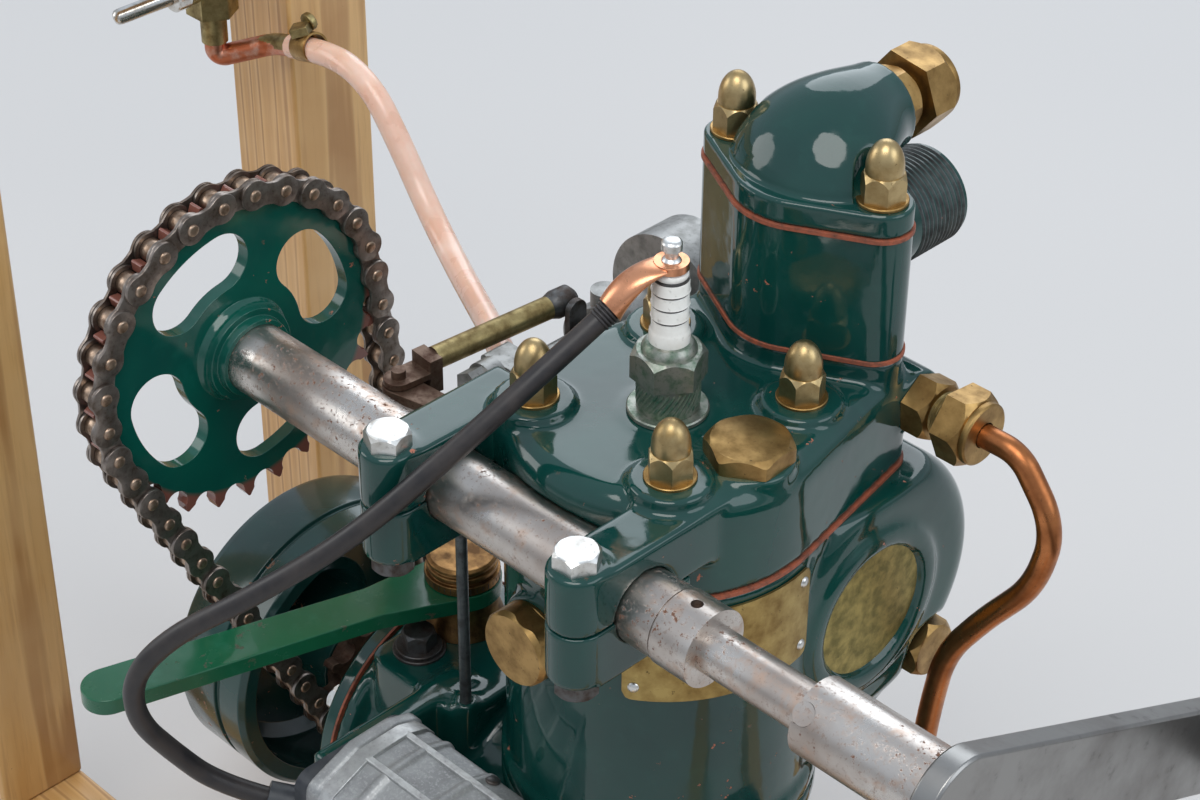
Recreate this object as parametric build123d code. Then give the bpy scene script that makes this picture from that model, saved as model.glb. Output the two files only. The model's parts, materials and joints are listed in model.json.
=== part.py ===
"""Small single-cylinder marine engine with a raised chain hand start, on its timber stand.

Millimetres. X runs along the crankshaft towards the starting handle, Y to the exhaust side, Z up.
The origin is on the floor, straight below the middle of the cylinder.
"""
from build123d import *
from math import atan2, cos, degrees, hypot, pi, radians, sin, sqrt, tan
import os

# Running and seating clearances
running_gap = 0.06
seat_gap = 0.3

# Chain drive: half-inch pitch chain, a 28-tooth starting sprocket above a 14-tooth one
chain_pitch = 12.7
roller_radius = 3.95
pin_radius = 1.9
chain_inner_width = 5.6
plate_thickness = 1.3
plate_height = 10.6
rivet_height = 0.7
start_teeth = 28
crank_teeth = 14
start_wrap_pitches = 16
crank_wrap_pitches = 6
strand_pitches = 14
chain_x = -143.5

# Timber stand
timber_width = 38.0
rail_height = 63.0
rail_half_length = 298.0
rail_inner_half = 65.5
post_top_z = 412.0
top_rail_height = 38.0
cross_bearer_height = 38.0
cross_bearer_half_length = 145.0
cross_bearer_xs = (-85.0, 60.0)

# Crankcase and crankshaft
crank_z = 150.0
start_axis_y = -55.0
case_radius = 47.0
case_front_x = -112.5
case_back_x = 58.0
case_flange_radius = 52.5
case_flange_thickness = 5.5
case_joint = 1.0
cover_thickness = 6.0
cover_boss_length = 9.5
back_boss_radius = 24.0
back_boss_x = 80.0
foot_thickness = 10.0
foot_length = 26.0
foot_web = 10.0
foot_reach = 62.0
crankshaft_radius = 10.0
output_flange_radius = 32.0
output_flange_thickness = 9.0
output_end_x = 96.0

# Flywheel
flywheel_radius = 58.0
flywheel_width = 40.0
flywheel_near_x = -157.0
flywheel_wall = 7.5
flywheel_web = 12.0
flywheel_hub_radius = 20.0
flywheel_groove_offset = 13.0
flywheel_groove_width = 3.0
flywheel_groove_depth = 1.5
crank_sprocket_hub_radius = 19.0

# Cylinder and its port chest
barrel_radius = 51.0
base_flange_radius = 53.0
base_flange_thickness = 8.0
cylinder_base_z = 203.0
head_joint_below_axis = 15.4225
gasket_thickness = 1.5
chest_y = 51.0
chest_drop = 41.0
chest_radius = 49.5
chest_half_length = 50.0
chest_rounding = 12.0
core_plug_y = 45.0
core_plug_radius = 24.0
core_plug_thickness = 1.5
core_boss_radius = 31.0
core_boss_x = 52.0
core_recess = 3.0

# Cylinder head
head_height = 37.0
stud_half = 29.0
stud_boss_radius = 13.0
stud_boss_rise = 3.0
riser_y = 60.0
riser_half_length = 40.0
riser_half_width = 24.0
riser_end_radius = 10.0
riser_seat_rise = 7.0
riser_height = 44.0
riser_stud_half = 30.0
riser_cap_thickness = 8.0

# Hand-start bearings
bearing_xs = (-45.3, 35.8)
bearing_width = 18.6
bearing_bolt_offset = 19.0
bearing_top = 20.0
bearing_bottom = 20.4
bearing_rounding = 6.0

# Hand-start shaft
tube_radius = 12.0
tube_start_x = -150.0
tube_end_x = 72.0
collar_length = 14.0
collar_radius = 12.5
grub_hole_radius = 1.9
cross_pin_radius = 3.5
cross_pin_x = 113.6
drive_shaft_radius = 7.5
socket_radius = 12.2
socket_start_x = 111.0
socket_floor_x = 146.5
socket_end_x = 154.5
arm_length = 165.0
arm_thickness = 8.0
arm_width = 32.0
arm_tilt = -26.0
grip_length = 95.0
grip_radius = 14.0

# Hand-start bearings reach down to the split of the caps; plugs and unions below are in brass
front_plug_x = -5.0
front_plug_y = -52.5
front_plug_rise = 13.0
front_plug_af = 25.4
front_plug_washer_radius = 13.0
side_plug_x = 44.0
side_plug_y = 79.0
side_plug_drop = 36.0
side_plug_af = 19.0
drain_x = 46.0
drain_y = 56.0
drain_drop = 41.0
drain_radius = 6.0
head_plug_x = 36.0
head_plug_y = -2.3
head_plug_af = 25.0
head_plug_height = 6.0
head_plug_ring_radius = 14.5
plug_x = 2.0
plug_y = -2.0
plug_seat_rise = 0.5
plug_seat_radius = 15.0
plug_shell_height = 25.5
insulator_height = 25.0
terminal_radius = 3.0

# Exhaust spigot, elbow and water pipe
spigot_radius = 16.5
spigot_bore = 12.5
spigot_end_y = 122.0
spigot_rise = 18.5
spigot_length = 35.0
spigot_shoulder = 0.4
elbow_end_y = 93.0
elbow_rise = 17.0
elbow_radius = 15.0
union_boss_radius = 10.5
union_af = 19.0
union_nut_af = 22.5
union_neck = 5.0
union_fitting_height = 9.0
union_height = 26.0
outlet_seat_x = 41.0
outlet_y = 73.0
outlet_rise = 23.0
return_x = 48.0
return_z = 160.0
return_seat_y = 46.5
return_union_height = 12.5
pipe_radius = 4.0
lead_radius = 3.5
hose_radius = 4.65

# Magneto, on a lug of the crankcase
magneto_seat_x = -68.0
magneto_lug_thickness = 11.0
magneto_lug_y = -86.0
magneto_lug_z = 205.0
magneto_end_x = 5.0
magneto_front_y = -101.0
magneto_back_y = -56.0
magneto_z0 = 140.0
magneto_eave_z = 211.0
magneto_ridge_y = -75.0
magneto_ridge_z = 218.0
cover_plate = 6.0

# Timing gear and its lever
timing_pad_y0 = -38.0
timing_pad_y1 = 24.0
timing_pad_z = 203.0
timing_stem_radius = 8.0
lever_x = -97.0
lever_y = 0.0
lever_z = 223.0
lever_tip_x = -137.0
lever_tip_y = -125.0

# Throttle linkage
spindle_x = -61.5
spindle_y = -31.5
spindle_radius = 2.0
spindle_bottom_z = 195.0
spindle_boss_radius = 4.0
spindle_boss_z = 206.0
spindle_lug_rise = 4.0
spindle_lug_height = 7.0
crank_bar_rise = 4.8
crank_bar_thickness = 3.5
crank_bar_width = 11.0
clevis_x = -85.5
clevis_y = -35.0
clevis_pin_radius = 2.4
ball_x = -79.5
ball_y = 32.0
rod_radius = 4.0
rod_rise = 3.7
throttle_arm = 16.0
lever_pivot_y = 32.0
lever_pin_radius = 2.5
lever_lug_x = -66.0

# Carburettor
carb_x = -77.0
carb_drop = 4.0
carb_radius = 12.0
carb_front_y = 42.0
carb_tube_x = -66.0
carb_tube_rise = 13.0
carb_block_y = -2.0
intake_radius = 25.0
intake_end_y = 98.0
inlet_y = 51.0
inlet_rise = 20.0

# Fuel tap
tap_offset = 18.0
tap_y = 44.0
tap_lever_drop = 38.0
tap_hexagon_af = 17.0
tap_hexagon_height = 22.0
tap_neck_height = 12.0
tap_spindle_radius = 3.0

foot_z = rail_height + cross_bearer_height
foot_top_z = foot_z + foot_thickness


across = Plane.YZ.location


def along_x(radius, x0, x1, y, z):
    """Solid round bar whose axis is parallel to X."""
    return Pos((x0 + x1) / 2, y, z) * Rot(0, 90, 0) * Cylinder(radius, abs(x1 - x0))


def along_y(radius, x, y0, y1, z):
    """Solid round bar whose axis is parallel to Y."""
    return Pos(x, (y0 + y1) / 2, z) * Rot(90, 0, 0) * Cylinder(radius, abs(y1 - y0))


def along_z(radius, x, y, z0, z1):
    """Solid round bar whose axis is vertical."""
    return Pos(x, y, (z0 + z1) / 2) * Cylinder(radius, abs(z1 - z0))


def block(x0, x1, y0, y1, z0, z1):
    """Box between two corners."""
    return Pos((x0 + x1) / 2, (y0 + y1) / 2, (z0 + z1) / 2) * Box(x1 - x0, y1 - y0, z1 - z0)


def slab(profile, x0, x1):
    """A (y, z) profile made solid from x0 to x1."""
    return Pos(x0, 0, 0) * across * extrude(profile, x1 - x0)


def turned_x(points, y, z):
    """Solid turned about an axis parallel to X, from (x, radius) points."""
    return Pos(0, y, z) * revolve(make_face(Polyline(*points, close=True)), Axis.X)


def turned_y(points, x, z):
    """Solid turned about an axis parallel to Y, from (radius, y) points."""
    return Pos(x, 0, z) * revolve(make_face(Polyline(*points, close=True)), Axis.Y)


def turned_z(points, x, y):
    """Solid turned about an upright axis, from (radius, z) points."""
    return Pos(x, y, 0) * revolve(Plane.XZ * make_face(Polyline(*points, close=True)), Axis.Z)


def hexagon(across_flats, height):
    """Hexagonal prism standing on the XY plane."""
    return extrude(RegularPolygon(across_flats / sqrt(3), 6), height)


def aimed(origin, direction):
    """Placement whose local Z points along a direction."""
    return Plane(origin=origin, z_dir=direction)


def path_through(points):
    """Straight runs joined by the largest tangent arcs that the runs leave room for, and the radii."""
    stops = [Vector(*p) for p in points]
    radii = []
    for a, b, c in zip(stops, stops[1:], stops[2:]):
        turn = radians((b - a).get_angle(c - b))
        radii.append(0.45 * min((b - a).length, (c - b).length) / tan(turn / 2))
    return FilletPolyline(*stops, radius=radii), radii


def tube_along(points, radius, name):
    """Round tube through the points; prints its length, its bend radii and how true its volume is."""
    path, radii = path_through(points)
    solid = sweep(Plane(path @ 0, z_dir=path % 0) * Circle(radius), path=path)
    share = solid.volume / (pi * radius**2 * path.length)
    print(name, "length", round(path.length, 1), "volume ratio", round(share, 4),
          "radii", [round(r, 1) for r in radii])
    return solid


def save(shape, name):
    """Write one sub-part, whose node is the file's name."""
    shape.label = name
    export_step(shape, f"parts/{name}.step")


def pitch_radius(teeth):
    """Radius of the circle through the roller centres."""
    return chain_pitch / (2 * sin(pi / teeth))


start_radius = pitch_radius(start_teeth)
crank_radius = pitch_radius(crank_teeth)
start_wrap = start_wrap_pitches * pi / start_teeth
crank_wrap = crank_wrap_pitches * pi / crank_teeth
strand_rise = start_radius * sin(start_wrap) - crank_radius * sin(crank_wrap)
strand_run = sqrt((strand_pitches * chain_pitch) ** 2 - strand_rise**2)
centre_distance = strand_run - start_radius * cos(start_wrap) - crank_radius * cos(crank_wrap)
start_axis_z = crank_z + sqrt(centre_distance**2 - start_axis_y**2)
centre_line = atan2(crank_z - start_axis_z, -start_axis_y)

# Heights that go up with the hand start, which the chain's length sets
head_joint_z = start_axis_z - head_joint_below_axis
head_top_z = head_joint_z + head_height
stud_boss_top_z = head_top_z + stud_boss_rise
plug_seat_z = head_top_z + plug_seat_rise
insulator_z = plug_seat_z + plug_shell_height
terminal_z = insulator_z + insulator_height
riser_base_z = head_top_z + riser_seat_rise
riser_top_z = riser_base_z + riser_height
spigot_z = riser_base_z + spigot_rise
elbow_z = riser_top_z + elbow_rise
outlet_z = head_joint_z + outlet_rise
chest_z = head_joint_z - chest_drop
front_plug_z = chest_z + front_plug_rise
side_plug_z = chest_z - side_plug_drop
drain_z = chest_z - drain_drop
inlet_z = chest_z + inlet_rise
spindle_lug_z = head_joint_z + spindle_lug_rise
crank_bar_z = spindle_lug_z + spindle_lug_height + crank_bar_rise
rod_z = crank_bar_z + crank_bar_thickness + rod_rise
throttle_pivot_z = rod_z - throttle_arm
carb_z = throttle_pivot_z - carb_drop
carb_tube_z = carb_z + carb_tube_rise

# The posts stand at the rails' ends, and the tap hangs from the rail over them
post_face_x = timber_width - rail_half_length
tap_x = post_face_x - tap_offset
tap_lever_z = post_top_z - tap_lever_drop


def chain_points():
    """Roller centres as (y, z), round the start sprocket and then the crank sprocket."""
    local = []
    for i in range(start_wrap_pitches + 1):
        a = start_wrap - i * 2 * pi / start_teeth
        local.append((-start_radius * cos(a), start_radius * sin(a)))
    last = local[-1]
    first_low = (centre_distance + crank_radius * cos(crank_wrap), -crank_radius * sin(crank_wrap))
    for i in range(1, strand_pitches):
        t = i / strand_pitches
        local.append((last[0] + t * (first_low[0] - last[0]), last[1] + t * (first_low[1] - last[1])))
    for i in range(crank_wrap_pitches + 1):
        a = -crank_wrap + i * 2 * pi / crank_teeth
        local.append((centre_distance + crank_radius * cos(a), crank_radius * sin(a)))
    last, first = local[-1], local[0]
    for i in range(1, strand_pitches):
        t = i / strand_pitches
        local.append((last[0] + t * (first[0] - last[0]), last[1] + t * (first[1] - last[1])))
    c, s = cos(centre_line), sin(centre_line)
    return [(start_axis_y + u * c - v * s, start_axis_z + u * s + v * c) for u, v in local]


def link_plate():
    """One figure-of-eight side plate along local X, from its first pin centre, lying on the XY plane."""
    end = plate_height / 2
    waist = 0.72 * end
    outline = [(0, end), (chain_pitch * 0.3, waist), (chain_pitch * 0.7, waist), (chain_pitch, end)]
    turn = [(chain_pitch + end * sin(radians(a)), end * cos(radians(a))) for a in (45, 90, 135)]
    back = [(x, -y) for x, y in reversed(outline)]
    turn_back = [(-end * sin(radians(a)), -end * cos(radians(a))) for a in (45, 90, 135)]
    return extrude(make_face(Polyline(*outline, *turn, *back, *turn_back, close=True)), plate_thickness)


def chain_links():
    """Inner links with their rollers, and outer plates with rivet heads, in one fixed loop."""
    points = chain_points()
    plate = link_plate()
    inner_x = chain_inner_width / 2
    outer_x = inner_x + plate_thickness
    inner, outer, rollers = [], [], []
    roller = extrude(RegularPolygon(roller_radius, 12), chain_inner_width)
    for i, (y, z) in enumerate(points):
        y2, z2 = points[(i + 1) % len(points)]
        lie = Pos(chain_x, y, z) * Rot(degrees(atan2(z2 - z, y2 - y)), 0, 0) * across
        if i % 2 == 0:
            inner += [lie * Pos(0, 0, inner_x) * plate, lie * Pos(0, 0, -outer_x) * plate]
            rollers += [lie * Pos(end, 0, -inner_x) * roller for end in (0, chain_pitch)]
            continue
        for side in (1, -1):
            face = outer_x if side > 0 else -outer_x - plate_thickness
            outer.append(lie * Pos(0, 0, face) * plate)
    return Compound(inner), Compound(outer), Compound(rollers)


def toothed_disc(teeth, thickness, phase):
    """Sprocket blank centred on the origin in the YZ plane, with a seat for each roller."""
    radius = pitch_radius(teeth)
    seat = roller_radius + 0.3
    tip = radius + 3.1
    disc = Circle(tip)
    mouth = [(radius, -seat * 0.94), (tip + 2, -seat * 1.95), (tip + 2, seat * 1.95), (radius, seat * 0.94)]
    gap = Pos(radius, 0) * Circle(seat) + make_face(Polyline(*mouth, close=True))
    gaps = [Rot(0, 0, degrees(phase) + i * 360 / teeth) * gap for i in range(teeth)]
    disc = disc - gaps
    return across * Pos(0, 0, -thickness / 2) * extrude(disc, thickness)


sprocket_thickness = 5.0
window_angle = 24.4
window_half_arc = 16.0
window_middle_radius = 35.5
window_width = 21.0
start_phase = centre_line + pi + start_wrap
crank_phase = centre_line - crank_wrap


def start_sprocket():
    """Large sprocket with four kidney windows and a hub."""
    disc = toothed_disc(start_teeth, sprocket_thickness, start_phase)
    for i in range(4):
        first = window_angle + 90 * i - window_half_arc
        window = SlotArc(CenterArc((0, 0), window_middle_radius, first, 2 * window_half_arc), window_width)
        disc -= across * Pos(0, 0, -10) * extrude(window, 20)
    disc = Pos(chain_x, start_axis_y, start_axis_z) * disc
    face = chain_x + sprocket_thickness / 2
    hub = turned_x([(chain_x, 0), (chain_x, 18.5), (face, 18.5), (face + 2, 17), (face + 5, 16.5), (face + 5, 14.2),
                    (face + 8, 13.8), (face + 8, 0)], start_axis_y, start_axis_z)
    bore = along_x(tube_radius + 0.02, chain_x - 20, chain_x + 20, start_axis_y, start_axis_z)
    return disc + hub - bore


def crank_sprocket():
    """Small sprocket on the face of the flywheel boss."""
    disc = Pos(chain_x, 0, crank_z) * toothed_disc(crank_teeth, sprocket_thickness, crank_phase)
    hub = along_x(crank_sprocket_hub_radius, flywheel_near_x + 3, chain_x + 8, 0, crank_z)
    return disc + hub - along_x(crankshaft_radius + 0.02, -200, -100, 0, crank_z)


def flywheel():
    """Deep drum flywheel with a grooved rim, open towards the engine."""
    near, far = flywheel_near_x, flywheel_near_x - flywheel_width
    rim, inside = flywheel_radius, flywheel_radius - flywheel_wall
    groove = near - flywheel_groove_offset
    low = rim - flywheel_groove_depth
    drum = turned_x([
        (near + 3, 0), (near + 3, flywheel_hub_radius), (far + flywheel_web + 3, flywheel_hub_radius + 3),
        (far + flywheel_web, flywheel_hub_radius + 7), (far + flywheel_web, inside - 5),
        (far + flywheel_web + 4, inside), (near, inside), (near, rim - 2), (near - 2, rim), (groove, rim),
        (groove - 0.5, low), (groove - flywheel_groove_width + 0.5, low), (groove - flywheel_groove_width, rim),
        (far + 5, rim), (far + 1.5, rim - 1.5), (far, rim - 5), (far, 34), (far + 3, 30), (far + 3, 24), (far, 21),
        (far - 4, 20), (far - 4, 0),
    ], 0, crank_z)
    return drum - along_x(crankshaft_radius + 0.02, far - 20, near + 20, 0, crank_z)


def crankshaft():
    """Crankshaft ends with the nut outside the flywheel and the output flange."""
    far_x = flywheel_near_x - flywheel_width - 16
    shaft = along_x(crankshaft_radius, far_x, output_end_x - output_flange_thickness, 0, crank_z)
    shaft += aimed((far_x + 12, 0, crank_z), (-1, 0, 0)).location * hexagon(30, 10)
    flange = along_x(output_flange_radius, output_end_x - output_flange_thickness, output_end_x, 0, crank_z)
    holes = [
        along_x(4.2, 60, 120, 23 * cos(pi / 4 + i * pi / 2), crank_z + 23 * sin(pi / 4 + i * pi / 2))
        for i in range(4)
    ]
    return shaft + flange - holes


def crankcase():
    """Barrel crankcase with end flanges, cylinder seat, control bosses, magneto lug and four feet."""
    joint_x = case_front_x + case_flange_thickness
    case = turned_x([
        (case_front_x, 0), (case_front_x, case_flange_radius), (joint_x, case_flange_radius),
        (joint_x + 2, case_radius), (case_back_x - 8, case_radius - 1), (case_back_x, case_radius - 7),
        (case_back_x + 3, back_boss_radius + 3), (back_boss_x - 2, back_boss_radius),
        (back_boss_x, back_boss_radius - 2), (back_boss_x, 0),
    ], 0, crank_z)
    case += along_z(barrel_radius - 3, 0, 0, crank_z, cylinder_base_z)
    case += along_z(base_flange_radius, 0, 0, cylinder_base_z - base_flange_thickness, cylinder_base_z)
    pad = block(joint_x - 0.5, spindle_x + spindle_boss_radius, timing_pad_y0, timing_pad_y1, crank_z, timing_pad_z)
    case += fillet(pad.edges().filter_by(Axis.Z), 8)
    case += along_z(spindle_boss_radius, spindle_x, spindle_y, crank_z, spindle_boss_z)
    lug = block(magneto_seat_x - magneto_lug_thickness, magneto_seat_x, magneto_lug_y, -20, magneto_z0, magneto_lug_z)
    case += lug - block(-200, 200, magneto_lug_y - 1, -20, 0, magneto_z0)
    case += along_y(union_boss_radius, return_x, 0, return_seat_y, return_z)
    for x in cross_bearer_xs:
        web = [(-foot_reach, foot_top_z), (-case_radius + 4, foot_top_z + 6), (-case_radius + 8, crank_z),
               (case_radius - 8, crank_z), (case_radius - 4, foot_top_z + 6), (foot_reach, foot_top_z),
               (foot_reach, foot_z), (-foot_reach, foot_z)]
        case += slab(make_face(Polyline(*web, close=True)), x - foot_web / 2, x + foot_web / 2)
        sole = block(x - foot_length / 2, x + foot_length / 2, -foot_reach, foot_reach, foot_z, foot_top_z)
        case += fillet(sole.edges().filter_by(Axis.Z), 6)
    case -= along_z(spindle_radius + running_gap, spindle_x, spindle_y, spindle_bottom_z, spindle_boss_z + 1)
    return case - along_x(crankshaft_radius + running_gap, -200, 200, 0, crank_z)


def crankcase_cover():
    """End cover on the chain side, with its bearing boss."""
    x1 = case_front_x - case_joint
    x0 = x1 - cover_thickness
    cover = turned_x([
        (x1, 0), (x1, case_flange_radius), (x0 + 1, case_flange_radius), (x0, case_flange_radius - 1),
        (x0, 30), (x0 - 2, 26), (x0 - cover_boss_length + 1.5, 22), (x0 - cover_boss_length, 20.5),
        (x0 - cover_boss_length, 0),
    ], 0, crank_z)
    return cover - along_x(crankshaft_radius + running_gap, -200, 200, 0, crank_z)


def riser_face(grow=0.0):
    """Plan of the exhaust riser: two stud eyes joined round the middle."""
    ends = [Pos(x, 0) * Circle(riser_end_radius + grow) for x in (-riser_stud_half, riser_stud_half)]
    return make_hull(Sketch([*ends, Circle(riser_half_width + grow)]).edges())


def head_plan(grow=0.0):
    """Plan of the joint between cylinder and head."""
    ends = [Pos(x, riser_y + 4) * Circle(riser_end_radius + grow) for x in (-riser_stud_half, riser_stud_half)]
    back = Pos(0, riser_y) * Circle(riser_half_width + grow)
    return make_hull(Sketch([Circle(barrel_radius + grow), *ends, back]).edges())


def cylinder():
    """Cylinder barrel with the round water chest behind it and the bosses for its plugs."""
    body = turned_z([
        (0, cylinder_base_z), (base_flange_radius, cylinder_base_z),
        (base_flange_radius, cylinder_base_z + base_flange_thickness - 1),
        (base_flange_radius - 1, cylinder_base_z + base_flange_thickness),
        (barrel_radius, cylinder_base_z + base_flange_thickness + 1.5),
        (barrel_radius, head_joint_z), (0, head_joint_z),
    ], 0, 0)
    chest = along_x(chest_radius, -chest_half_length, chest_half_length, chest_y, chest_z)
    body += fillet(chest.edges().filter_by(GeomType.CIRCLE), chest_rounding)
    body += Pos(0, 0, chest_z) * extrude(head_plan(-0.5), head_joint_z - chest_z)
    body -= block(-200, 200, -200, 200, head_joint_z, head_joint_z + 100)
    body += along_x(core_boss_radius, 0, core_boss_x, core_plug_y, chest_z)
    body -= along_x(core_plug_radius, core_boss_x - core_recess, core_boss_x + 5, core_plug_y, chest_z)
    body += along_y(front_plug_washer_radius + 1.5, front_plug_x, front_plug_y, -40, front_plug_z)
    body += along_x(side_plug_af * 0.64, 15, side_plug_x, side_plug_y, side_plug_z)
    body += along_x(drain_radius + 3, 20, drain_x, drain_y, drain_z)
    body -= along_x(side_plug_af * 0.64, side_plug_x, side_plug_x + 20, side_plug_y, side_plug_z)
    body -= along_z(60, 0, 0, 100, cylinder_base_z)
    return body


def head():
    """Cylinder head with its stud bosses, riser seat and the two hand-start bearing arms."""
    z0 = head_joint_z + gasket_thickness
    body = Pos(0, 0, z0) * extrude(head_plan(), head_top_z - z0)
    body = fillet(body.faces().sort_by(Axis.Z)[-1].edges(), 8)
    for x in (-stud_half, stud_half):
        for y in (-stud_half, stud_half):
            body += along_z(stud_boss_radius, x, y, start_axis_z + 2, stud_boss_top_z)
    body += Pos(0, riser_y, z0 + 10) * extrude(riser_face(), riser_base_z - z0 - 10)
    body += along_z(plug_seat_radius, plug_x, plug_y, head_top_z - 10, plug_seat_z)
    body += along_z(head_plug_ring_radius, head_plug_x, head_plug_y, head_top_z - 10, head_top_z + 1)
    body += along_x(union_boss_radius, 15, outlet_seat_x, outlet_y, outlet_z)
    for x in bearing_xs:
        body += bearing_arm(x)
    lug = Sketch([Pos(spindle_x, spindle_y) * Circle(spindle_boss_radius),
                  Pos(-42, spindle_y) * Circle(spindle_boss_radius)])
    body += Pos(0, 0, spindle_lug_z) * extrude(make_hull(lug.edges()), spindle_lug_height)
    body -= along_z(spindle_radius + running_gap, spindle_x, spindle_y, 0, start_axis_z)
    return body - along_x(tube_radius + running_gap, -200, 200, start_axis_y, start_axis_z)


def bearing_profile(top, bottom):
    """Rounded (y, z) outline of a hand-start bearing, from its bolt boss to the head."""
    y0 = start_axis_y - bearing_bolt_offset
    y1 = start_axis_y + bearing_bolt_offset
    y0 -= bearing_rounding
    middle = Pos((y0 + y1) / 2, start_axis_z + (top - bottom) / 2)
    return middle * RectangleRounded(y1 - y0, top + bottom, bearing_rounding)


def bearing_arm(x):
    """Upper half of a hand-start bearing: an arm out of the head with a bolt boss at its end."""
    y_bolt = start_axis_y - bearing_bolt_offset
    x0, x1 = x - bearing_width / 2, x + bearing_width / 2
    arm = slab(bearing_profile(bearing_top, bearing_bottom), x0, x1)
    arm += block(x0, x1, start_axis_y, -20, start_axis_z, start_axis_z + bearing_top)
    arm -= block(x0 - 1, x1 + 1, y_bolt - 40, y_bolt, start_axis_z - 50, start_axis_z + 50)
    boss = along_z(bearing_width / 2, x, y_bolt, start_axis_z, start_axis_z + bearing_top + 1)
    arm += fillet(boss.edges().group_by(Axis.Z)[-1], 1.2)
    return arm - block(x0 - 1, x1 + 1, -150, 0, start_axis_z - 50, start_axis_z)


def bearing_cap(x):
    """Lower half of a hand-start bearing, hung from its bolt boss and the arm."""
    y_bolt = start_axis_y - bearing_bolt_offset
    x0, x1 = x - bearing_width / 2, x + bearing_width / 2
    cap = slab(bearing_profile(bearing_top, bearing_bottom), x0, x1)
    cap -= block(x0 - 1, x1 + 1, y_bolt - 40, y_bolt, start_axis_z - 50, start_axis_z + 50)
    boss = along_z(bearing_width / 2, x, y_bolt, start_axis_z - bearing_bottom, start_axis_z)
    cap += fillet(boss.edges().group_by(Axis.Z)[0], 3)
    cap -= block(x0 - 1, x1 + 1, -150, 0, start_axis_z, start_axis_z + 50)
    cap -= Pos(0, 0, 200) * extrude(head_plan(1), 200)
    return cap - along_x(tube_radius + running_gap, -200, 200, start_axis_y, start_axis_z)


def gaskets():
    """Joint rings under the crankcase cover, the head, the riser and the riser's cap."""
    joint = along_x(case_flange_radius + 0.4, case_front_x - case_joint, case_front_x, 0, crank_z)
    return Compound([
        joint - along_x(40, case_front_x - 5, case_front_x + 5, 0, crank_z),
        Pos(0, 0, head_joint_z) * extrude(head_plan(0.6), gasket_thickness),
        Pos(0, riser_y, riser_base_z) * extrude(riser_face(0.6), gasket_thickness),
        Pos(0, riser_y, riser_top_z) * extrude(riser_face(0.6), gasket_thickness),
    ])


def riser():
    """Exhaust riser with the threaded spigot towards the back."""
    z0 = riser_base_z + gasket_thickness
    body = Pos(0, riser_y, z0) * extrude(riser_face(), riser_top_z - z0)
    body += along_y(spigot_radius, 0, riser_y, spigot_end_y, spigot_z)
    body += along_y(spigot_radius + spigot_shoulder, 0, riser_y, spigot_end_y - spigot_length, spigot_z)
    body -= block(-50, 50, 0, riser_y + riser_half_width + 1, 0, z0)
    return body - along_y(spigot_bore, 0, riser_y + 5, spigot_end_y + 1, spigot_z)


def riser_cap():
    """Cap over the riser: a stud flange that swells into an elbow towards the back."""
    z0 = riser_top_z + gasket_thickness
    top = z0 + riser_cap_thickness
    flange = Pos(0, riser_y, z0) * extrude(riser_face(), riser_cap_thickness)
    flange = fillet(flange.faces().sort_by(Axis.Z)[-1].edges(), 1.5)
    base = Plane(origin=(0, riser_y, top - 2), x_dir=(1, 0, 0), z_dir=(0, 0, 1)) * Ellipse(27, 20)
    middle = Plane(origin=(0, riser_y + 8, top + 15), x_dir=(1, 0, 0), z_dir=(0, 0.6, 0.8)) * Ellipse(19, 17)
    mouth = Plane(origin=(0, elbow_end_y, elbow_z), x_dir=(1, 0, 0), z_dir=(0, 1, 0)) * Circle(elbow_radius)
    elbow = loft([base, middle, mouth]) - block(-50, 50, 0, 150, 0, z0)
    cut = [along_z(riser_end_radius - 1, x, riser_y, top, top + 60) for x in (-riser_stud_half, riser_stud_half)]
    return flange + (elbow - cut)


def hex_plugs():
    """Brass hexagon plugs: head, front of the barrel on its washer, and low on the chest."""
    z = head_top_z + 1
    top = chamfer(hexagon(head_plug_af, head_plug_height).edges().group_by(Axis.Z)[-1], 0.8)
    front = aimed((front_plug_x, front_plug_y, front_plug_z), (0, -1, 0))
    washer = Cylinder(front_plug_washer_radius, 1.5, align=(Align.CENTER, Align.CENTER, Align.MIN))
    side = aimed((side_plug_x, side_plug_y, side_plug_z), (1, 0, 0)).location
    return Compound([
        Pos(head_plug_x, head_plug_y, z) * top,
        front.location * (washer + Pos(0, 0, 1.5) * hexagon(front_plug_af, 8)),
        side * hexagon(side_plug_af, 8),
    ])


def core_plug():
    """Shallow domed disc pressed into the core hole of the water chest."""
    x0 = core_boss_x - core_recess
    r = core_plug_radius - 0.05
    rim = core_plug_thickness * 0.6
    return turned_x([(x0, 0), (x0, r), (x0 + rim, r), (x0 + core_plug_thickness, r * 0.55),
                     (x0 + core_plug_thickness, 0)], core_plug_y, chest_z)


def union(af_fitting, af_nut, fitting, neck, height):
    """Pipe union standing on local Z: fitting hexagon, neck and nut, with its foot at zero."""
    body = hexagon(af_fitting, fitting) + Cylinder(af_fitting * 0.36, height, align=(Align.CENTER, Align.CENTER, Align.MIN))
    nut = hexagon(af_nut, height - fitting - neck)
    return body + Pos(0, 0, fitting + neck) * chamfer(nut.edges().group_by(Axis.Z)[-1], 0.8)


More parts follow.
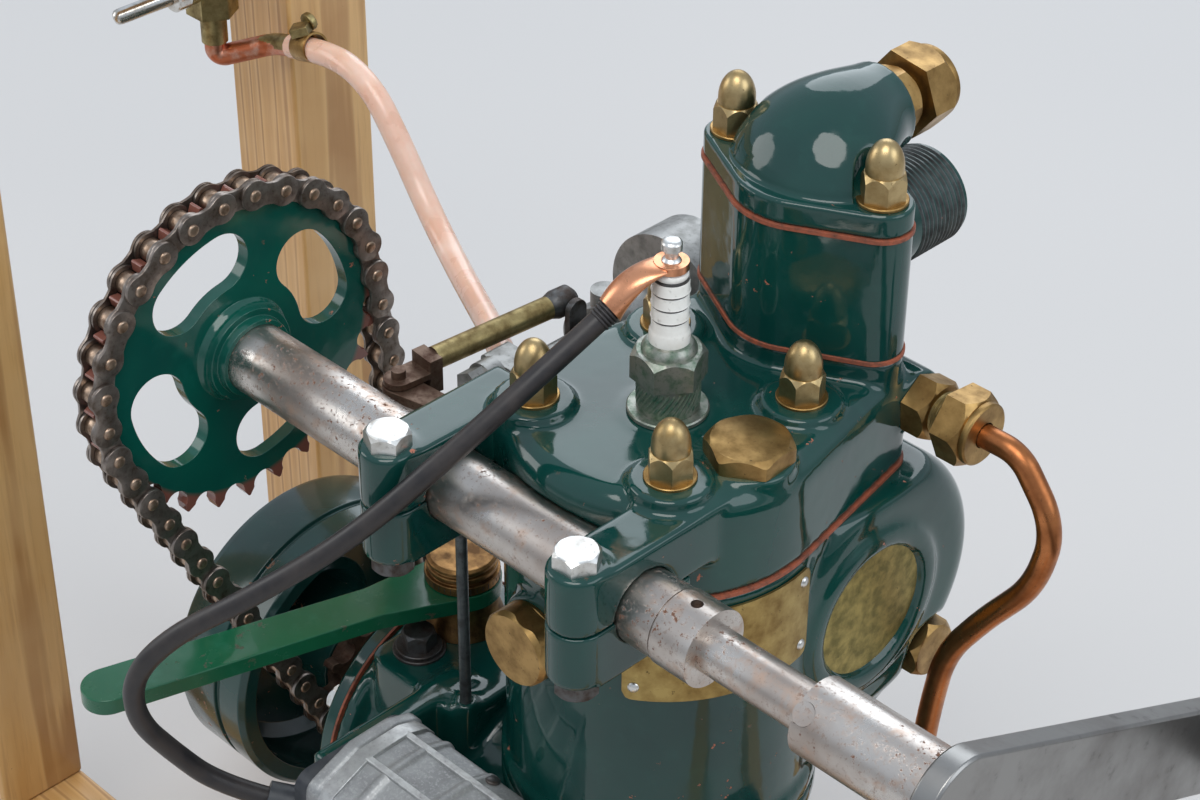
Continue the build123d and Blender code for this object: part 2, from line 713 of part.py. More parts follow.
def pipe_unions():
    """Brass unions at the head, at the crankcase and at the mouth of the riser's elbow."""
    head_end = aimed((outlet_seat_x, outlet_y, outlet_z), (1, 0, 0)).location
    case_end = aimed((return_x, return_seat_y, return_z), (0, 1, 0)).location
    mouth = aimed((0, elbow_end_y, elbow_z), (0, 1, 0)).location
    open_end = Pos(0, 0, union_fitting_height) * Cylinder(7, 100, align=(Align.CENTER, Align.CENTER, Align.MIN))
    return Compound([
        head_end * union(union_af, union_nut_af, union_fitting_height, union_neck, union_height),
        case_end * union(union_af - 3, union_af - 1, 5, 0.5, return_union_height),
        mouth * (union(union_af + 2, union_nut_af + 3, union_fitting_height, 2, union_height) - open_end),
    ])


def water_pipe():
    """Bent copper pipe from the head down to the crankcase."""
    x0 = outlet_seat_x + union_height
    end_y = return_seat_y + return_union_height
    points = [
        (x0, outlet_y, outlet_z), (x0 + 14, outlet_y, outlet_z), (x0 + 30, outlet_y, outlet_z - 20),
        (x0 + 25, outlet_y, outlet_z - 46), (x0 + 8, outlet_y, outlet_z - 69), (x0 - 6, outlet_y, outlet_z - 92),
        (x0 - 10, outlet_y, outlet_z - 119), (return_x + 7, outlet_y, return_z + 26),
        (return_x, end_y + 19, return_z), (return_x, end_y, return_z),
    ]
    return tube_along(points, pipe_radius, "water_pipe")


def spark_plug_body():
    """Plug shell with its washer, round part, hexagon and shoulder, and the terminal above."""
    z = plug_seat_z
    shell = turned_z([
        (0, z), (12.8, z), (12.8, z + 1.8), (9.8, z + 1.8), (9.8, z + 12.5), (0, z + 12.5),
    ], plug_x, plug_y)
    nut = Pos(plug_x, plug_y, z + 12.5) * chamfer(hexagon(20.8, 10).edges().group_by(Axis.Z)[-1], 0.8)
    shell += nut + along_z(8.2, plug_x, plug_y, z + 22, insulator_z)
    t = terminal_z
    terminal = turned_z([
        (0, t), (terminal_radius, t), (terminal_radius, t + 3.5), (2.1, t + 4.2), (2.1, t + 6),
        (3.2, t + 6.8), (3.2, t + 9.2), (2.2, t + 10), (0, t + 10),
    ], plug_x, plug_y)
    return Compound([shell, terminal])


def spark_plug_insulator():
    """Ribbed ceramic insulator."""
    outline = [(0, insulator_z), (6.4, insulator_z), (6.4, insulator_z + 3)]
    z = insulator_z + 5
    for i in range(4):
        outline += [(5.7, z), (5.7, z + 2.6), (5.0, z + 3.3), (5.0, z + 3.9)]
        z += 4.6
    outline += [(5.5, z), (4.4, terminal_z), (0, terminal_z)]
    return turned_z(outline, plug_x, plug_y)


lead_points = [
    (-6.2, -19.3, 385.4), (-12.5, -42.0, 370.0), (-23.3, -68.7, 348.7), (-41.4, -93.8, 320.4),
    (-64.6, -115.5, 296.8), (-84.5, -131.5, 279.5), (-95.0, -141.5, 262.0), (-97.0, -140.5, 242.0),
    (-95.0, -129.0, 222.0), (-90.0, -117.0, 204.0), (-78.0, -106.0, 198.5),
]


def plug_clip():
    """Copper tag folded round the plug's terminal, with the barrel that grips the lead."""
    start = Vector(*lead_points[0])
    run = start - Vector(*lead_points[1])
    eye = Vector(plug_x, plug_y, terminal_z + 1.8)
    out = Vector(start.X - eye.X, start.Y - eye.Y, 0).normalized()
    wide = out.cross(Vector(0, 0, 1))
    mouth = Plane(origin=start, x_dir=wide, z_dir=run)
    flat = Plane(origin=eye + out * 9.5 - Vector(0, 0, 2.2), x_dir=wide, z_dir=run + Vector(0, 0, -8) - out * 8)
    tip = Plane(origin=eye + out * 3.2, x_dir=wide, z_dir=-out)
    tag = loft([mouth * Ellipse(4.6, 4.4), flat * Ellipse(5.4, 2.3), tip * Ellipse(5.2, 1.0)])
    tag += along_z(5.4, plug_x, plug_y, terminal_z + 0.4, terminal_z + 3)
    return tag - along_z(terminal_radius + 0.02, plug_x, plug_y, terminal_z - 20, terminal_z + 20)


def magneto():
    """Magneto casting: roof-shaped body with ribs, an end rim and a step band along the back."""
    y0, y1, z0 = magneto_front_y, magneto_back_y, magneto_z0
    roof = [(y0, z0), (y0, magneto_eave_z), (magneto_ridge_y - 8, magneto_ridge_z),
            (magneto_ridge_y + 8, magneto_ridge_z), (y1, magneto_eave_z + 3), (y1, z0)]
    profile = make_face(Polyline(*roof, close=True))
    profile = fillet(profile.vertices().group_by(Axis.Y)[1:], 4)
    body = slab(profile, magneto_seat_x + cover_plate, magneto_end_x)
    body = fillet(body.edges().filter_by(Axis.Z).group_by(Axis.X)[-1], 12)
    rim = offset(profile, 1.4)
    body += slab(rim, magneto_seat_x + cover_plate, magneto_seat_x + cover_plate + 5)
    for x in (-42, -20):
        body += slab(offset(profile, 1.0), x - 1.2, x + 1.2)
    body += block(magneto_seat_x + 12, magneto_end_x - 14, y1, y1 + 2.4, z0 + 12, magneto_eave_z - 18)
    return body - block(-100, 50, y0 - 10, y1 + 10, z0 - 10, z0)


def magneto_end_cover():
    """Black end plate of the magneto with the sleeve that the lead comes out of."""
    y0, y1 = magneto_front_y - 1, magneto_back_y + 1
    plate = block(magneto_seat_x, magneto_seat_x + cover_plate, y0, y1, magneto_z0, magneto_eave_z + 1)
    plate = fillet(plate.edges().filter_by(Axis.X).group_by(Axis.Z)[-1], 6)
    end = Vector(*lead_points[-1])
    run = end - Vector(*lead_points[-2])
    sleeve = Plane(origin=end, z_dir=run).location * Cone(5.6, 7.2, 20, align=(Align.CENTER, Align.CENTER, Align.MIN))
    sleeve -= block(magneto_seat_x + cover_plate, 50, -200, 0, 0, 400)
    return plate + sleeve


def carburettor():
    """Carburettor lying along Y: fuel block, tube, body with its lever lug, air intake and inlet elbow."""
    x, z = carb_x, carb_z
    front = carb_front_y
    plate = Sketch([Pos(x, z) * Circle(carb_radius), Pos(carb_tube_x, carb_tube_z) * Circle(6),
                    Pos(lever_lug_x, throttle_pivot_z) * Circle(6)])
    plate = Plane(origin=(0, front, 0), x_dir=(1, 0, 0), z_dir=(0, -1, 0)) * make_hull(plate.edges())
    body = extrude(plate, -5)
    body += along_y(carb_radius, x, front + 4, front + 26, z)
    body += turned_y([(0, front + 26), (15, front + 26), (15, front + 30), (12.5, front + 31),
                      (12.5, front + 36), (intake_radius, front + 37), (intake_radius, intake_end_y),
                      (0, intake_end_y)], x, z)
    body -= turned_y([(0, intake_end_y - 3), (intake_radius - 3, intake_end_y - 3),
                      (intake_radius - 3, intake_end_y + 1), (0, intake_end_y + 1)], x, z)
    body += along_z(5, x + 1, front + 7, z, z + carb_radius + 7)
    body += along_y(4, carb_tube_x, carb_block_y, front + 2, carb_tube_z)
    body += fillet(block(-76, -61, carb_block_y - 6, carb_block_y + 5, 313, 331).edges().filter_by(Axis.Y), 2)
    body += along_y(6.5, -69, carb_block_y - 12, carb_block_y - 6, 326)
    knob = aimed((-69, carb_block_y - 12, 326), (0, -1, 0)).location * hexagon(10.5, 6)
    end = Vector(*hose_points[-1])
    run = (end - Vector(*hose_points[-2])).normalized()
    nipple = Plane(origin=end, z_dir=run).location * Cylinder(3.6, 14, align=(Align.CENTER, Align.CENTER, Align.MIN))
    path = FilletPolyline((x, inlet_y, z - 4), (x, inlet_y, inlet_z), (-chest_half_length, inlet_y, inlet_z), radius=12)
    elbow = sweep(Plane(path @ 0, z_dir=path % 0) * Circle(9.5), path=path)
    flange = along_x(15, -chest_half_length - 5, -chest_half_length, inlet_y, inlet_z)
    lug = along_x(5, lever_lug_x - 4, lever_lug_x + 4, lever_pivot_y, throttle_pivot_z)
    lug += block(lever_lug_x - 4, lever_lug_x + 4, lever_pivot_y, front, throttle_pivot_z - 5, throttle_pivot_z + 5)
    body = body + knob + nipple + elbow + flange + lug
    return body - along_x(lever_pin_radius + running_gap, lever_lug_x - 6, lever_lug_x + 4.5, lever_pivot_y,
                          throttle_pivot_z)


hose_points = [
    (-250.0, 58.6, 352.6), (-226.0, 57.6, 359.5), (-203.0, 56.4, 355.5), (-187.0, 55.5, 338.0),
    (-171.0, 53.5, 319.5), (-147.0, 44.5, 311.0), (-119.0, 30.0, 312.5), (-98.0, 18.5, 315.5),
    (-84.0, 9.5, 317.0),
]


def fuel_tap():
    """Tap under the top rail with the bent copper outlet that the hose is pushed on."""
    seat = tap_lever_z - tap_neck_height
    foot = seat - tap_neck_height
    body = turned_z([(0, foot), (5, foot), (5, seat), (0, seat)], tap_x, tap_y)
    body += Pos(tap_x, tap_y, seat) * hexagon(tap_hexagon_af, tap_hexagon_height)
    body += along_z(5.5, tap_x, tap_y, seat + tap_hexagon_height - 4, post_top_z)
    body += along_y(5.5, tap_x, tap_y - 12, tap_y, tap_lever_z)
    body -= along_y(tap_spindle_radius + running_gap, tap_x, tap_y - 20, tap_y - 4, tap_lever_z)
    start, second = Vector(*hose_points[0]), Vector(*hose_points[1])
    back = (start - second).normalized()
    path, radii = path_through([(tap_x, tap_y, foot + 2), (tap_x, tap_y, foot - 7), tuple(start + back * 12), tuple(start)])
    return body + sweep(Plane(path @ 0, z_dir=path % 0) * Circle(4.1), path=path)


def fuel_tap_lever():
    """Round-bar lever on its spindle."""
    y0 = tap_y - 12 - seat_gap
    boss = along_y(6, tap_x, y0 - 6, y0, tap_lever_z)
    bar = Plane(origin=(tap_x, y0 - 3, tap_lever_z), z_dir=(-0.35, -0.93, -0.2)).location
    bar = bar * Cylinder(tap_spindle_radius, 34, align=(Align.CENTER, Align.CENTER, Align.MIN))
    return boss + bar + along_y(tap_spindle_radius, tap_x, y0, tap_y - 4.5, tap_lever_z)


def start_tube():
    """Tube of the hand start, with the grub-screwed collar at its handle end."""
    tube = along_x(tube_radius, tube_start_x, tube_end_x, start_axis_y, start_axis_z)
    x0 = tube_end_x - collar_length
    tube += along_x(collar_radius, x0, tube_end_x, start_axis_y, start_axis_z)
    tube -= along_x(20, x0 - 0.8, x0, start_axis_y, start_axis_z) - along_x(
        tube_radius - 0.5, x0 - 0.8, x0, start_axis_y, start_axis_z)
    tube -= along_z(grub_hole_radius, tube_end_x - collar_length / 2, start_axis_y, start_axis_z, start_axis_z + 30)
    return tube - along_x(drive_shaft_radius, tube_start_x - 1, tube_end_x + 1, start_axis_y, start_axis_z)


def drive_shaft():
    """Inner shaft with the cross pin that the socket's notch drives."""
    shaft = along_x(drive_shaft_radius, tube_start_x + 6, socket_floor_x, start_axis_y, start_axis_z)
    return shaft + along_z(cross_pin_radius, cross_pin_x, start_axis_y, start_axis_z - 12, start_axis_z + 12)


def handle_socket():
    """Round socket of the starting handle, notched for the cross pin."""
    body = along_x(socket_radius, socket_start_x, socket_end_x, start_axis_y, start_axis_z)
    body -= along_x(drive_shaft_radius + 0.02, 0, socket_floor_x, start_axis_y, start_axis_z)
    wide = cross_pin_radius + 0.1
    notch = along_z(wide, cross_pin_x, start_axis_y, start_axis_z - 40, start_axis_z + 40)
    return body - notch - block(0, cross_pin_x, start_axis_y - wide, start_axis_y + wide,
                                start_axis_z - 40, start_axis_z + 40)


def handle_arm():
    """Flat arm of the starting handle."""
    arm = extrude(SlotCenterToCenter(arm_length, arm_width), arm_thickness)
    arm = chamfer(arm.edges().group_by(Axis.Z)[0] + arm.edges().group_by(Axis.Z)[-1], 0.8)
    arm = Pos(arm_length / 2, 0, 0) * arm
    turn = Rot(arm_tilt, 0, 0) * across
    return Pos(socket_end_x, start_axis_y, start_axis_z) * turn * arm


def handle_grip():
    """Turned grip on the end of the arm."""
    y = start_axis_y + arm_length * cos(radians(arm_tilt))
    z = start_axis_z + arm_length * sin(radians(arm_tilt))
    x0 = socket_end_x + arm_thickness
    x1 = x0 + grip_length
    r = grip_radius
    return turned_x([(x0, 0), (x0, r * 0.7), (x0 + 4, r * 0.8), (x0 + 20, r * 0.86), (x1 - 34, r),
                     (x1 - 8, r * 0.9), (x1 - 2, r * 0.6), (x1, r * 0.3), (x1, 0)], y, z)


def control_spindle():
    """Upright control rod, carried by a boss on the crankcase and a lug on the head."""
    return along_z(spindle_radius, spindle_x, spindle_y, spindle_bottom_z + 0.3, crank_bar_z)


def control_crank():
    """Flat steel bar on top of the control rod."""
    hub = Pos(spindle_x, spindle_y) * Circle(4)
    eye = Pos(clevis_x, clevis_y) * Circle(crank_bar_width / 2)
    bar = make_hull(Sketch([hub, eye]).edges()) - Pos(clevis_x, clevis_y) * Circle(clevis_pin_radius + 0.35)
    return Pos(0, 0, crank_bar_z) * extrude(bar, crank_bar_thickness)


def throttle_rod():
    """Brass rod with a steel clevis at the control end and a ball end at the throttle."""
    tine = 2.2
    top = crank_bar_z + crank_bar_thickness + seat_gap
    low = crank_bar_z - seat_gap - tine
    run = hypot(ball_x - clevis_x, ball_y - clevis_y)
    fork = SlotCenterToCenter(10, 10)
    body = Pos(5, 0, top) * extrude(fork, tine) + Pos(5, 0, low) * extrude(fork, tine)
    body += block(9, 14, -5, 5, low, rod_z + 3)
    body += along_z(clevis_pin_radius, 0, 0, low - 1.5, top + tine + 3)
    body += along_x(rod_radius, 14, run - 5, 0, rod_z)
    body += turned_x([(run - 6, 0), (run - 6, rod_radius), (run - 3, 5), (run + 3, 5), (run + 5, 3), (run + 5, 0)],
                     0, rod_z)
    lie = Pos(clevis_x, clevis_y, 0) * Rot(0, 0, degrees(atan2(ball_y - clevis_y, ball_x - clevis_x)))
    return lie * body


def throttle_lever():
    """Lever on the carburettor that the rod turns."""
    length = rod_z - throttle_pivot_z
    x0 = ball_x + 5 + 0.5
    bar = Pos(x0, ball_y, (rod_z + throttle_pivot_z) / 2) * Rot(0, 90, 0) * extrude(SlotCenterToCenter(length, 8), 2.5)
    return bar + along_x(lever_pin_radius, x0, lever_lug_x + 4, lever_pivot_y, throttle_pivot_z)


def timing_body():
    """Stacked bronze body of the timing gear, standing on the crankcase pad."""
    z = lever_z
    return turned_z([
        (0, timing_pad_z), (15.5, timing_pad_z), (13, z - 12.2), (13, z - 7), (timing_stem_radius, z - 7),
        (timing_stem_radius, z), (13.5, z), (13.5, z + 3.6), (12, z + 3.6), (12, z + 4.4), (12.7, z + 4.8),
        (12.7, z + 6.4), (11.6, z + 6.9), (11.6, z + 7.5), (12.7, z + 8), (12.7, z + 9.2), (11.5, z + 10), (0, z + 10),
    ], lever_x, lever_y)


def timing_lever():
    """Flat lever clamped round the stem of the timing gear."""
    reach = hypot(lever_tip_x - lever_x, lever_tip_y - lever_y)
    z0 = lever_z - 7 + seat_gap
    thick = 7 - 2 * seat_gap
    plan = make_hull(Sketch([Circle(14), Pos(34, 0) * Circle(8.2)]).edges())
    plan += make_hull(Sketch([Pos(30, 0) * Circle(8.2), Pos(reach, 0) * Circle(8.8)]).edges())
    plan -= Circle(timing_stem_radius + running_gap)
    body = extrude(plan, thick)
    turn = Rot(0, 0, degrees(atan2(lever_tip_y - lever_y, lever_tip_x - lever_x)))
    return Pos(lever_x, lever_y, z0) * turn * body


def stand():
    """Rails, cross bearers, posts and the rail over the posts."""
    back_x = post_face_x - timber_width
    for name, sign in (("front", -1), ("rear", 1)):
        y0, y1 = sorted((sign * rail_inner_half, sign * (rail_inner_half + timber_width)))
        save(block(-rail_half_length, rail_half_length, y0, y1, 0, rail_height), f"{name}_rail")
        save(block(back_x, post_face_x, y0, y1, rail_height, post_top_z), f"{name}_post")
    y_out = rail_inner_half + timber_width
    bearers = [
        block(x - timber_width / 2, x + timber_width / 2, -cross_bearer_half_length, cross_bearer_half_length,
              rail_height, rail_height + cross_bearer_height)
        for x in cross_bearer_xs
    ]
    save(Compound(bearers), "cross_bearers")
    save(block(back_x, post_face_x, -y_out, y_out, post_top_z, post_top_z + top_rail_height), "post_top_rail")


def build():
    """Write every sub-part."""
    os.makedirs("parts", exist_ok=True)
    stand()
    inner, outer, rollers = chain_links()
    pieces = {
        "crankcase": crankcase(), "crankcase_cover": crankcase_cover(), "cylinder": cylinder(),
        "gaskets": gaskets(), "cylinder_head": head(), "exhaust_riser": riser(), "riser_cap": riser_cap(),
        "chain_end_bearing_cap": bearing_cap(bearing_xs[0]), "handle_end_bearing_cap": bearing_cap(bearing_xs[1]),
        "hex_plugs": hex_plugs(), "core_plug": core_plug(), "pipe_unions": pipe_unions(),
        "water_pipe": water_pipe(), "spark_plug_body": spark_plug_body(),
        "spark_plug_insulator": spark_plug_insulator(), "plug_clip": plug_clip(),
        "ignition_lead": tube_along(lead_points, lead_radius, "ignition_lead"),
        "magneto_body": magneto(), "magneto_end_cover": magneto_end_cover(), "timing_body": timing_body(),
        "timing_lever": timing_lever(), "carburettor": carburettor(),
        "fuel_hose": tube_along(hose_points, hose_radius, "fuel_hose"), "fuel_tap": fuel_tap(),
        "fuel_tap_lever": fuel_tap_lever(), "crankshaft": crankshaft(), "flywheel": flywheel(),
        "crank_sprocket": crank_sprocket(), "start_sprocket": start_sprocket(), "start_tube": start_tube(),
        "drive_shaft": drive_shaft(), "handle_socket": handle_socket(), "handle_arm": handle_arm(),
        "handle_grip": handle_grip(), "control_spindle": control_spindle(), "control_crank": control_crank(),
        "throttle_rod": throttle_rod(), "throttle_lever": throttle_lever(), "chain_inner_links": inner,
        "chain_outer_plates": outer, "chain_rollers": rollers,
    }
    for name, piece in pieces.items():
        save(piece, name)


build()
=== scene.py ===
"""Looks of the marine engine: paint, metal, timber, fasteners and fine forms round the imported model.

Shapes are written in millimetres in the model's own frame and turned into metres when the mesh is made.
"""
import json
from math import asin, atan2, cos, degrees, hypot, pi, radians, sin, sqrt

import bmesh
import bpy
from mathutils import Matrix, Vector

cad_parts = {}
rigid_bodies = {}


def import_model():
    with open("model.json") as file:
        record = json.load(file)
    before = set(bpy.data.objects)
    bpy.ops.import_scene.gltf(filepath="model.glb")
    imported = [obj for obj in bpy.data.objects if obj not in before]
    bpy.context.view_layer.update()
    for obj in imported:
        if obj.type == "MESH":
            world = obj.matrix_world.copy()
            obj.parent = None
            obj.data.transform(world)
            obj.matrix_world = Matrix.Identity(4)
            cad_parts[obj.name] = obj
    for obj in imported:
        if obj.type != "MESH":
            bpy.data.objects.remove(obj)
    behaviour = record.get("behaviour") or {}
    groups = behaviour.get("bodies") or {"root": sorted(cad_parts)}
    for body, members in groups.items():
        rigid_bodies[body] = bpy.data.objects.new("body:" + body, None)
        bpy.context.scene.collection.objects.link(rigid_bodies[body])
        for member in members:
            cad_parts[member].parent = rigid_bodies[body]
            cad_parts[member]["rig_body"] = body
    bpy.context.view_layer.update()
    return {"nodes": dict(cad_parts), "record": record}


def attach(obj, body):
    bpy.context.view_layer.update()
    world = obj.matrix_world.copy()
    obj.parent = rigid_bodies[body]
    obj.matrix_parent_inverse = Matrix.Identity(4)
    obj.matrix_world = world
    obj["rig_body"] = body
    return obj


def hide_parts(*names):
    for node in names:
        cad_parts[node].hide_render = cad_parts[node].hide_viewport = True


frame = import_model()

scene = bpy.context.scene
MM = 0.001
body_by_node = {n: b for b, ns in frame["record"]["behaviour"]["bodies"].items() for n in ns}

# Camera: at the photograph's own angle, worked out for a 1200 x 800 frame
camera_data = bpy.data.cameras.new("photo_camera")
camera = bpy.data.objects.new("photo_camera", camera_data)
scene.collection.objects.link(camera)
scene.camera = camera
camera_data.sensor_width = 36.0
camera_data.lens = 80.708
camera_data.clip_start, camera_data.clip_end = 0.05, 20.0
az, el, roll = radians(44.8504), radians(35.1131), radians(0.4897)
forward = Vector((-sin(az) * cos(el), cos(az) * cos(el), -sin(el)))
right = forward.cross(Vector((0, 0, 1))).normalized()
up = right.cross(forward)
right, up = cos(roll) * right + sin(roll) * up, -sin(roll) * right + cos(roll) * up
camera.matrix_world = Matrix((
    (right.x, up.x, -forward.x, 0.460702), (right.y, up.y, -forward.y, -0.492463),
    (right.z, up.z, -forward.z, 0.820355), (0, 0, 0, 1)))


# Materials

class Shader:
    """Small helper that builds one procedural material on a Principled shader."""

    def __init__(self, name, colour, metallic=0.0, rough=0.4, coat=0.0, specular=0.5):
        self.mat = bpy.data.materials.new(name)
        self.mat.use_nodes = True
        self.tree = self.mat.node_tree
        self.bsdf = self.tree.nodes["Principled BSDF"]
        self.bsdf.inputs["Metallic"].default_value = metallic
        self.bsdf.inputs["Coat Weight"].default_value = coat
        self.bsdf.inputs["Coat Roughness"].default_value = 0.04
        self.bsdf.inputs["Specular IOR Level"].default_value = specular
        self.place = self.node("ShaderNodeTexCoord").outputs["Object"]
        self.colour = (*colour, 1)
        self.rough = rough
        self.metal = None
        self.base_metal = metallic
        self.normal = None

    def node(self, kind, **inputs):
        made = self.tree.nodes.new(kind)
        for key, value in inputs.items():
            self.put(made.inputs[key.replace("_", " ")], value)
        return made

    def put(self, socket, value):
        if isinstance(value, bpy.types.NodeSocket):
            self.tree.links.new(value, socket)
        else:
            socket.default_value = value

    def scaled(self, scale, squeeze=(1, 1, 1)):
        made = self.node("ShaderNodeMapping")
        self.put(made.inputs["Vector"], self.place)
        made.inputs["Scale"].default_value = tuple(scale * s for s in squeeze)
        return made.outputs[0]

    def noise(self, size, detail=4.0, rough=0.55, squeeze=(1, 1, 1), warp=0.0):
        """Noise whose features are about size millimetres across."""
        made = self.node("ShaderNodeTexNoise", Detail=detail, Roughness=rough, Distortion=warp, Scale=1.0)
        self.put(made.inputs["Vector"], self.scaled(1000.0 / size, squeeze))
        return made.outputs["Fac"]

    def cells(self, size, squeeze=(1, 1, 1), feature="F1"):
        made = self.node("ShaderNodeTexVoronoi", Scale=1.0)
        made.feature = feature
        self.put(made.inputs["Vector"], self.scaled(1000.0 / size, squeeze))
        return made.outputs["Distance"]

    def steps(self, value, low, high, a=0.0, b=1.0):
        made = self.node("ShaderNodeMapRange")
        for key, item in (("Value", value), ("From Min", low), ("From Max", high), ("To Min", a), ("To Max", b)):
            self.put(made.inputs[key], item)
        return made.outputs[0]

    def math(self, kind, a, b=0.0):
        made = self.node("ShaderNodeMath")
        made.operation = kind
        self.put(made.inputs[0], a)
        self.put(made.inputs[1], b)
        return made.outputs[0]

    def mix(self, fac, a, b, colour=True):
        made = self.node("ShaderNodeMix")
        made.data_type = "RGBA" if colour else "FLOAT"
        at = 6 if colour else 2
        self.put(made.inputs[0], fac)
        for i, item in ((at, a), (at + 1, b)):
            if colour and isinstance(item, tuple) and len(item) == 3:
                item = (*item, 1)
            self.put(made.inputs[i], item)
        return made.outputs[2 if colour else 0]

    def layer(self, mask, colour=None, rough=None, metal=None):
        """Lay a colour, roughness or metalness over what is there, where mask is 1."""
        if colour is not None:
            self.colour = self.mix(mask, self.colour, colour)
        if rough is not None:
            self.rough = self.mix(mask, self.rough, rough, False)
        if metal is not None:
            self.metal = self.mix(mask, self.base_metal if self.metal is None else self.metal, metal, False)
        return self

    def bump(self, height, strength=0.3, depth=0.3):
        """Surface relief; depth in millimetres."""
        made = self.node("ShaderNodeBump", Strength=strength, Distance=depth * MM, Height=height)
        if self.normal is not None:
            self.put(made.inputs["Normal"], self.normal)
        self.normal = made.outputs[0]
        return self

    def done(self):
        self.put(self.bsdf.inputs["Base Color"], self.colour)
        self.put(self.bsdf.inputs["Roughness"], self.rough)
        if self.metal is not None:
            self.put(self.bsdf.inputs["Metallic"], self.metal)
        if self.normal is not None:
            self.put(self.bsdf.inputs["Normal"], self.normal)
            self.put(self.bsdf.inputs["Coat Normal"], self.normal)
        return self.mat


def enamel(name, colour, dark, light, chip, chips=0.66, rough=0.1):
    """Brushed-on gloss enamel: slow waves, dust and a few chips down to the primer."""
    s = Shader(name, colour, rough=rough, coat=0.15)
    cloud = s.noise(45, 3)
    s.layer(s.steps(cloud, 0.35, 0.7), dark)
    s.layer(s.steps(s.noise(9, 6, 0.6), 0.55, 0.8, 0, 0.35), light)
    s.layer(s.steps(s.noise(14, 5, 0.6), 0.5, 0.75, 0, 1), rough=rough + 0.14)
    chipped = s.math("MULTIPLY", s.steps(s.noise(5, 6, 0.65), chips, chips + 0.02),
                     s.steps(s.noise(40, 2), 0.5, 0.56))
    s.layer(chipped, chip, 0.6)
    s.bump(s.noise(16, 2), 0.5, 0.35)
    s.bump(s.noise(3, 4), 0.12, 0.1)
    s.bump(s.steps(chipped, 0, 1, 1, 0), 0.5, 0.12)
    return s.done()


def pitted_steel(name, colour, rust=0.57, grain=(1, 8, 8)):
    """Bright turned steel with fine turning lines, stains and rust pits."""
    s = Shader(name, colour, metallic=1.0, rough=0.27)
    s.layer(s.steps(s.noise(30, 4), 0.40, 0.66), (0.42, 0.36, 0.32), 0.36)
    s.layer(s.steps(s.noise(8, 6, 0.65), 0.52, 0.70), (0.50, 0.36, 0.28), 0.42)
    s.layer(s.steps(s.noise(1.5, 5, 0.7), 0.56, 0.66, 0, 0.6), (0.24, 0.15, 0.11), 0.55, 0.6)
    pits = s.math("MULTIPLY", s.steps(s.noise(1.8, 6, 0.7), rust, rust + 0.05), s.steps(s.noise(20, 3), 0.46, 0.58))
    s.layer(pits, (0.17, 0.075, 0.04), 0.75, 0.15)
    dots = s.steps(s.cells(4.2), 0.05, 0.12, 1, 0)
    dots = s.math("MULTIPLY", dots, s.steps(s.noise(12, 2), 0.5, 0.54))
    s.layer(dots, (0.14, 0.06, 0.035), 0.8, 0.1)
    s.bump(s.noise(1.2, 3, 0.6, grain), 0.25, 0.05)
    s.bump(s.steps(pits, 0, 1, 1, 0), 0.35, 0.1)
    return s.done()


def dull_brass(name, colour, tarnish, amount=0.5, rough=0.32, size=6):
    """Brass or bronze with clouded tarnish and fine scratches."""
    s = Shader(name, colour, metallic=1.0, rough=rough)
    s.layer(s.steps(s.noise(size, 5, 0.6), amount - 0.1, amount + 0.22), tarnish, rough + 0.14)
    s.layer(s.steps(s.noise(size / 5, 5, 0.7), 0.62, 0.72), tuple(c * 0.45 for c in tarnish), 0.6, 0.6)
    s.bump(s.noise(0.9, 3, 0.6, (6, 1, 1)), 0.2, 0.05)
    s.bump(s.noise(size / 2, 3), 0.2, 0.12)
    return s.done()


def timber(name, along):
    """Varnished pine whose grain runs along one axis: 0 is X, 1 is Y, 2 is Z."""
    s = Shader(name, (0.56, 0.31, 0.105), rough=0.34, coat=0.25)
    squeeze = [1.0, 1.0, 1.0]
    squeeze[along] = 0.05
    wave = s.node("ShaderNodeTexWave", Scale=1.0, Distortion=5.0, Detail=3.0, Detail_Scale=1.3)
    wave.bands_direction = "X" if along != 0 else "Y"
    s.put(wave.inputs["Vector"], s.scaled(1000.0 / 22, squeeze))
    ring = wave.outputs["Fac"]
    s.layer(s.steps(ring, 0.25, 0.9), (0.66, 0.40, 0.16))
    s.layer(s.steps(ring, 0.84, 0.99, 0, 0.75), (0.34, 0.155, 0.045), 0.42)
    fine = s.noise(1.6, 4, 0.6, tuple(squeeze))
    s.layer(s.steps(fine, 0.5, 0.72, 0, 0.45), (0.38, 0.19, 0.06), 0.48)
    s.layer(s.steps(s.noise(60, 3), 0.45, 0.75, 0, 0.5), (0.70, 0.46, 0.22))
    s.layer(s.steps(s.noise(2.2, 6, 0.7), 0.7, 0.74), (0.12, 0.07, 0.04), 0.7)
    s.bump(ring, 0.25, 0.35)
    s.bump(fine, 0.3, 0.15)
    return s.done()


def plain(name, colour, metallic=0.0, rough=0.4, size=5, other=None, other_rough=None, coat=0.0, depth=0.1):
    """A colour clouded with a second one, with light relief."""
    s = Shader(name, colour, metallic=metallic, rough=rough, coat=coat)
    other = other or tuple(c * 0.6 for c in colour)
    s.layer(s.steps(s.noise(size, 5, 0.6), 0.42, 0.68), other, other_rough or rough + 0.1)
    s.layer(s.steps(s.noise(size * 0.25, 4, 0.6), 0.6, 0.75, 0, 0.6), tuple(c * 0.5 for c in other))
    s.bump(s.noise(size * 0.3, 4, 0.6), 0.3, depth)
    return s.done()


